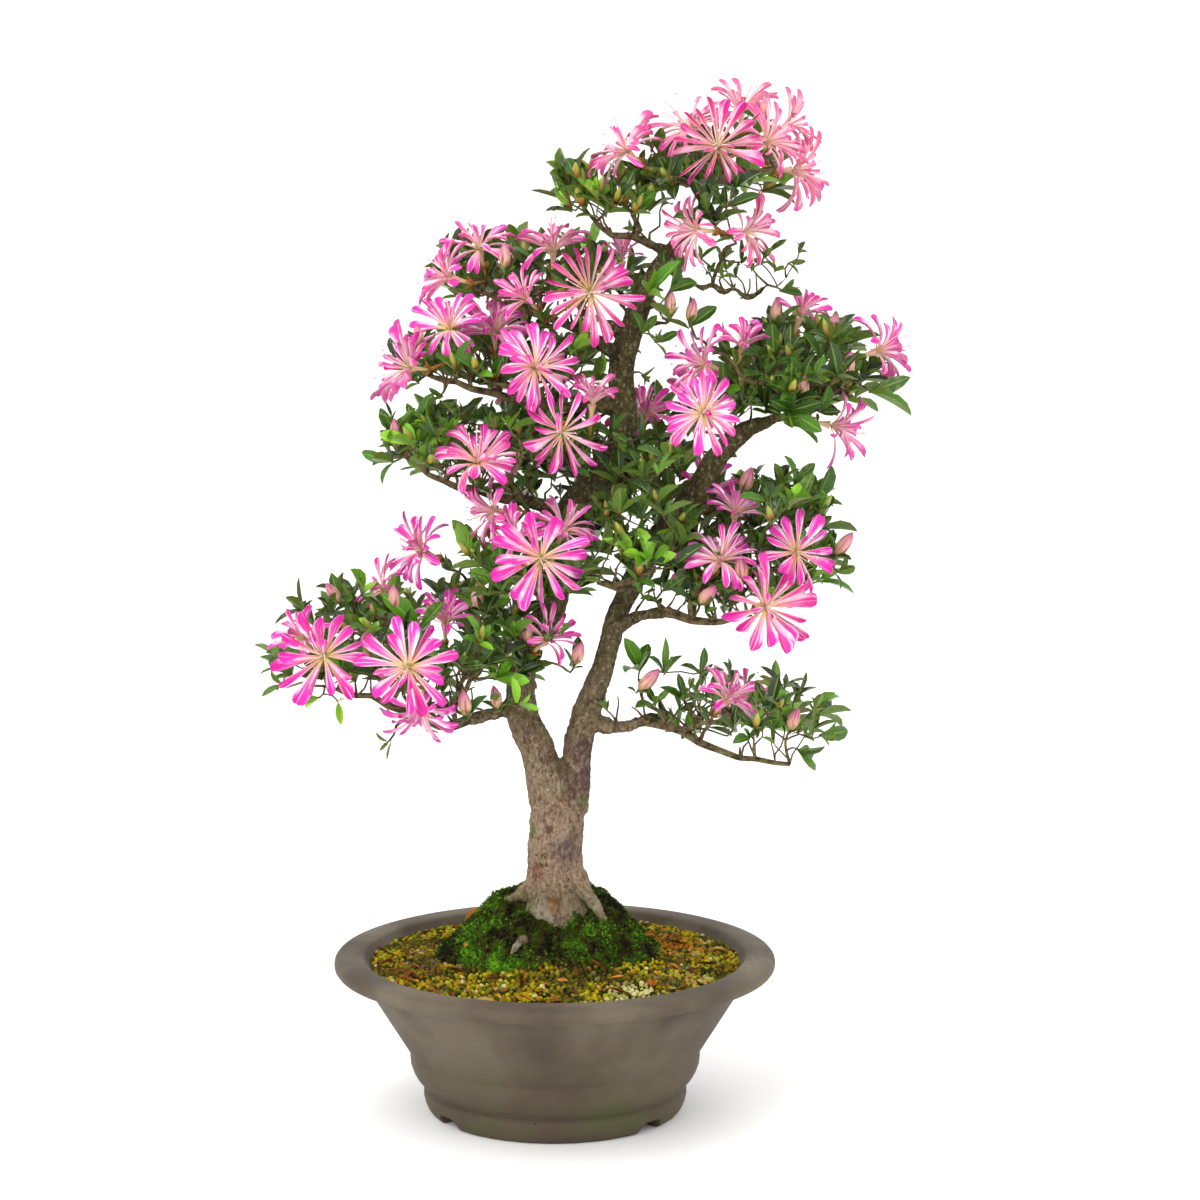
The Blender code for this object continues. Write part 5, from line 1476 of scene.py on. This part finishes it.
# %% Moss
MOSS_RINGS, MOSS_SPOKES = 26, 120
moss_top = polar_mesh("moss_top", MOSS_RINGS, lambda share, angle: 14 + (moss_edge(angle) - 14) * share, moss_height,
                      spokes=MOSS_SPOKES)
upper = [vertex.co.copy() for vertex in moss_top.vertices]
lower = []
for point in upper:
    radius = math.hypot(point.x / MM - POT_X, point.y / MM)
    lower.append(Vector((point.x, point.y, min(point.z - 0.0004, (height_on(SOIL_LINE, radius) - 1.8) * MM))))
count, outer = len(upper), MOSS_RINGS * MOSS_SPOKES
shell_faces = [tuple(face.vertices) for face in moss_top.polygons]
shell_faces += [tuple(index + count for index in reversed(face)) for face in shell_faces]
for spoke in range(MOSS_SPOKES):
    after = (spoke + 1) % MOSS_SPOKES
    shell_faces.append((spoke, after, after + count, spoke + count))
    shell_faces.append((outer + after, outer + spoke, outer + spoke + count, outer + after + count))
mound = only_finish(outward(mesh_of("mound", upper + lower, shell_faces)), moss_skin)
set_marks(mound, "tint", [0.35] * len(mound.vertices))


def sprig_shape(number):
    """A moss sprig: seven closed three-sided blades that lean outwards, one unit tall."""
    draw = random.Random(60 + number)
    points, faces = [], []
    for i in range(7):
        out = way(math.tau * i / 7 + draw.uniform(-0.3, 0.3))
        lean = draw.uniform(0.2, 0.9)
        tip = out * lean + Vector((0, 0, draw.uniform(0.7, 1.1)))
        side = Vector((-out.y, out.x, 0)) * 0.13
        first = len(points)
        points += [out * 0.1 + side, out * 0.1 - side, out * 0.1 - out * 0.2, tip]
        faces += [(first, first + 1, first + 3), (first + 1, first + 2, first + 3), (first + 2, first, first + 3),
                  (first + 1, first, first + 2)]
    return outward(mesh_of(f"sprig_{number}", points, faces))


def sprig_cover(radius, angle):
    return max(0.15, min(1, (1.06 - radius / moss_edge(angle)) * 8))


sprig_tree = strewing_tree("sprigs_on_moss", shape_box("sprig", map(sprig_shape, range(4))), moss_skin)
pile_top = polar_mesh("pile_top", 30, lambda share, angle: 21 + (moss_edge(angle) * 1.04 - 21) * share,
                      moss_height, sprig_cover)
pile = grown("pile", pile_top, sprig_tree, Spacing=0.0014, Crowding=6e5, Smallest=0.0009, Largest=0.0024,
             Tumble=0.5, Seed=21)
placed(joined("moss_mound", [mound, pile], crease=180), "moss", "moss")

# %% Dead leaves and rootlets
litter_box = shape_box("litter", [
    blade_shape(f"litter_{i}", [(v, width * 0.3) for v, width in LEAF_ROWS], 2, 5, reflex, 0.3, 0.03, twist)
    for i, (reflex, twist) in enumerate(((20, 0.4), (-20, -0.6), (36, 1.0)))
])
litter_tree = strewing_tree("litter_on_soil", litter_box, litter_skin)
strewn = polar_mesh("strewn", 20, lambda share, angle: 60 + 62 * share,
                    lambda radius, angle: max(soil_height(radius, angle), moss_height(radius, angle)) + 1.9, spokes=90)
litter = grown("litter", strewn, litter_tree, Spacing=0.009, Crowding=3600.0, Smallest=0.006, Largest=0.014,
               Tumble=0.3, Seed=8)
draw = random.Random(77)
rootlets = []
for start in ((-150, -20), (-140, -34), (-110, -46), (-104, -20), (-94, -38), (-126, 6), (70, -30), (52, 40)):
    angle = draw.uniform(0, math.tau)
    place = Vector((*start, 0))
    run = []
    for _ in range(6):
        radius = math.hypot(place.x - POT_X, place.y)
        turn = math.atan2(place.y, place.x - POT_X)
        lift = max(soil_height(radius, turn), moss_height(radius, turn) if radius < moss_edge(turn) else 0)
        run.append((Vector((place.x, place.y, lift + draw.uniform(1.6, 3.4))), 0.45))
        angle += draw.uniform(-0.7, 0.7)
        place += way(angle) * 5
    rootlets.append(run)
placed(joined("soil_litter", [litter, swept("rootlets", rootlets, twig_tree, Sides=5, Steps=3)]), "soil", "soil")

# %% [markdown]
# ## The studio
# The photograph is taken on white with soft light from all round and a little more from the upper left. A round pale
# bowl serves as floor and backdrop, so the tree stands on the same ground from every side, and the camera stands
# where the places were read from.

# %% Floor, light and camera
def white_paper(add):
    """Matt white paper with the faintest clouds, so that the tree's shadow lies on a plain ground."""
    clouds = add("TexNoise", add("TexCoord").outputs["Object"], 3.0)
    return add("ValToRGB", clouds, stops=[(0.3, "#fcfcfd"), (0.7, "#ffffff")]), None


FLOOR_REACH, BOWL_RADIUS, BOWL_STEPS, FLOOR_SPOKES = 1.6, 2.6, 16, 96
bowl = [(FLOOR_REACH, 0)]
for step in range(1, BOWL_STEPS + 1):
    angle = math.pi / 2 * step / BOWL_STEPS
    bowl.append((FLOOR_REACH + BOWL_RADIUS * math.sin(angle), BOWL_RADIUS - BOWL_RADIUS * math.cos(angle)))
points = [(radius * math.cos(math.tau * s / FLOOR_SPOKES), radius * math.sin(math.tau * s / FLOOR_SPOKES), height)
          for radius, height in bowl for s in range(FLOOR_SPOKES)] + [(0, 0, 0)]
faces = [(len(points) - 1, s, (s + 1) % FLOOR_SPOKES) for s in range(FLOOR_SPOKES)]
faces += [(a, d, c, b) for a, b, c, d in ring_faces(BOWL_STEPS, FLOOR_SPOKES)]
backdrop = only_finish(mesh_of("floor", points, faces), finish_of("studio_floor", (0.9, 0.1), None, white_paper))
floor = joined("floor", [backdrop], crease=180)

world = having(bpy.data.worlds.new("studio"), use_nodes=True)
bpy.context.scene.world = world
world.node_tree.nodes["Background"].inputs["Color"].default_value = (1.0, 0.99, 0.965, 1)
world.node_tree.nodes["Background"].inputs["Strength"].default_value = 1.15
for name, place, aim, size, watts in (
    ("key", (-1.3, -1.6, 2.1), (0, 0, 0.35), 2.8, 46), ("fill", (1.6, -1.5, 1.2), (0, 0, 0.3), 1.6, 3),
    ("back", (0.6, 1.7, 1.9), (0, 0, 0.4), 1.6, 14),
):
    lamp = having(bpy.data.lights.new(name, "AREA"), shape="DISK", size=size, energy=watts)
    turn = (Vector(aim) - Vector(place)).to_track_quat("-Z", "Y")
    having(object_of(name, lamp), location=place, rotation_euler=turn.to_euler())

SENSOR_MM = 36
lens = having(bpy.data.cameras.new("photo_camera"), sensor_width=SENSOR_MM,
              lens=FOCAL_PIXELS * SENSOR_MM / (PHOTO_CENTRE * 2))
camera = having(object_of("photo_camera", lens), location=CAMERA_PLACE * MM,
                rotation_euler=(math.pi / 2 - CAMERA_PITCH, 0, 0))
bpy.context.scene.camera = camera
having(bpy.context.scene.view_settings, view_transform="Standard", look="None")
print("lights", len(bpy.data.lights), "lens in mm", round(lens.lens, 1))
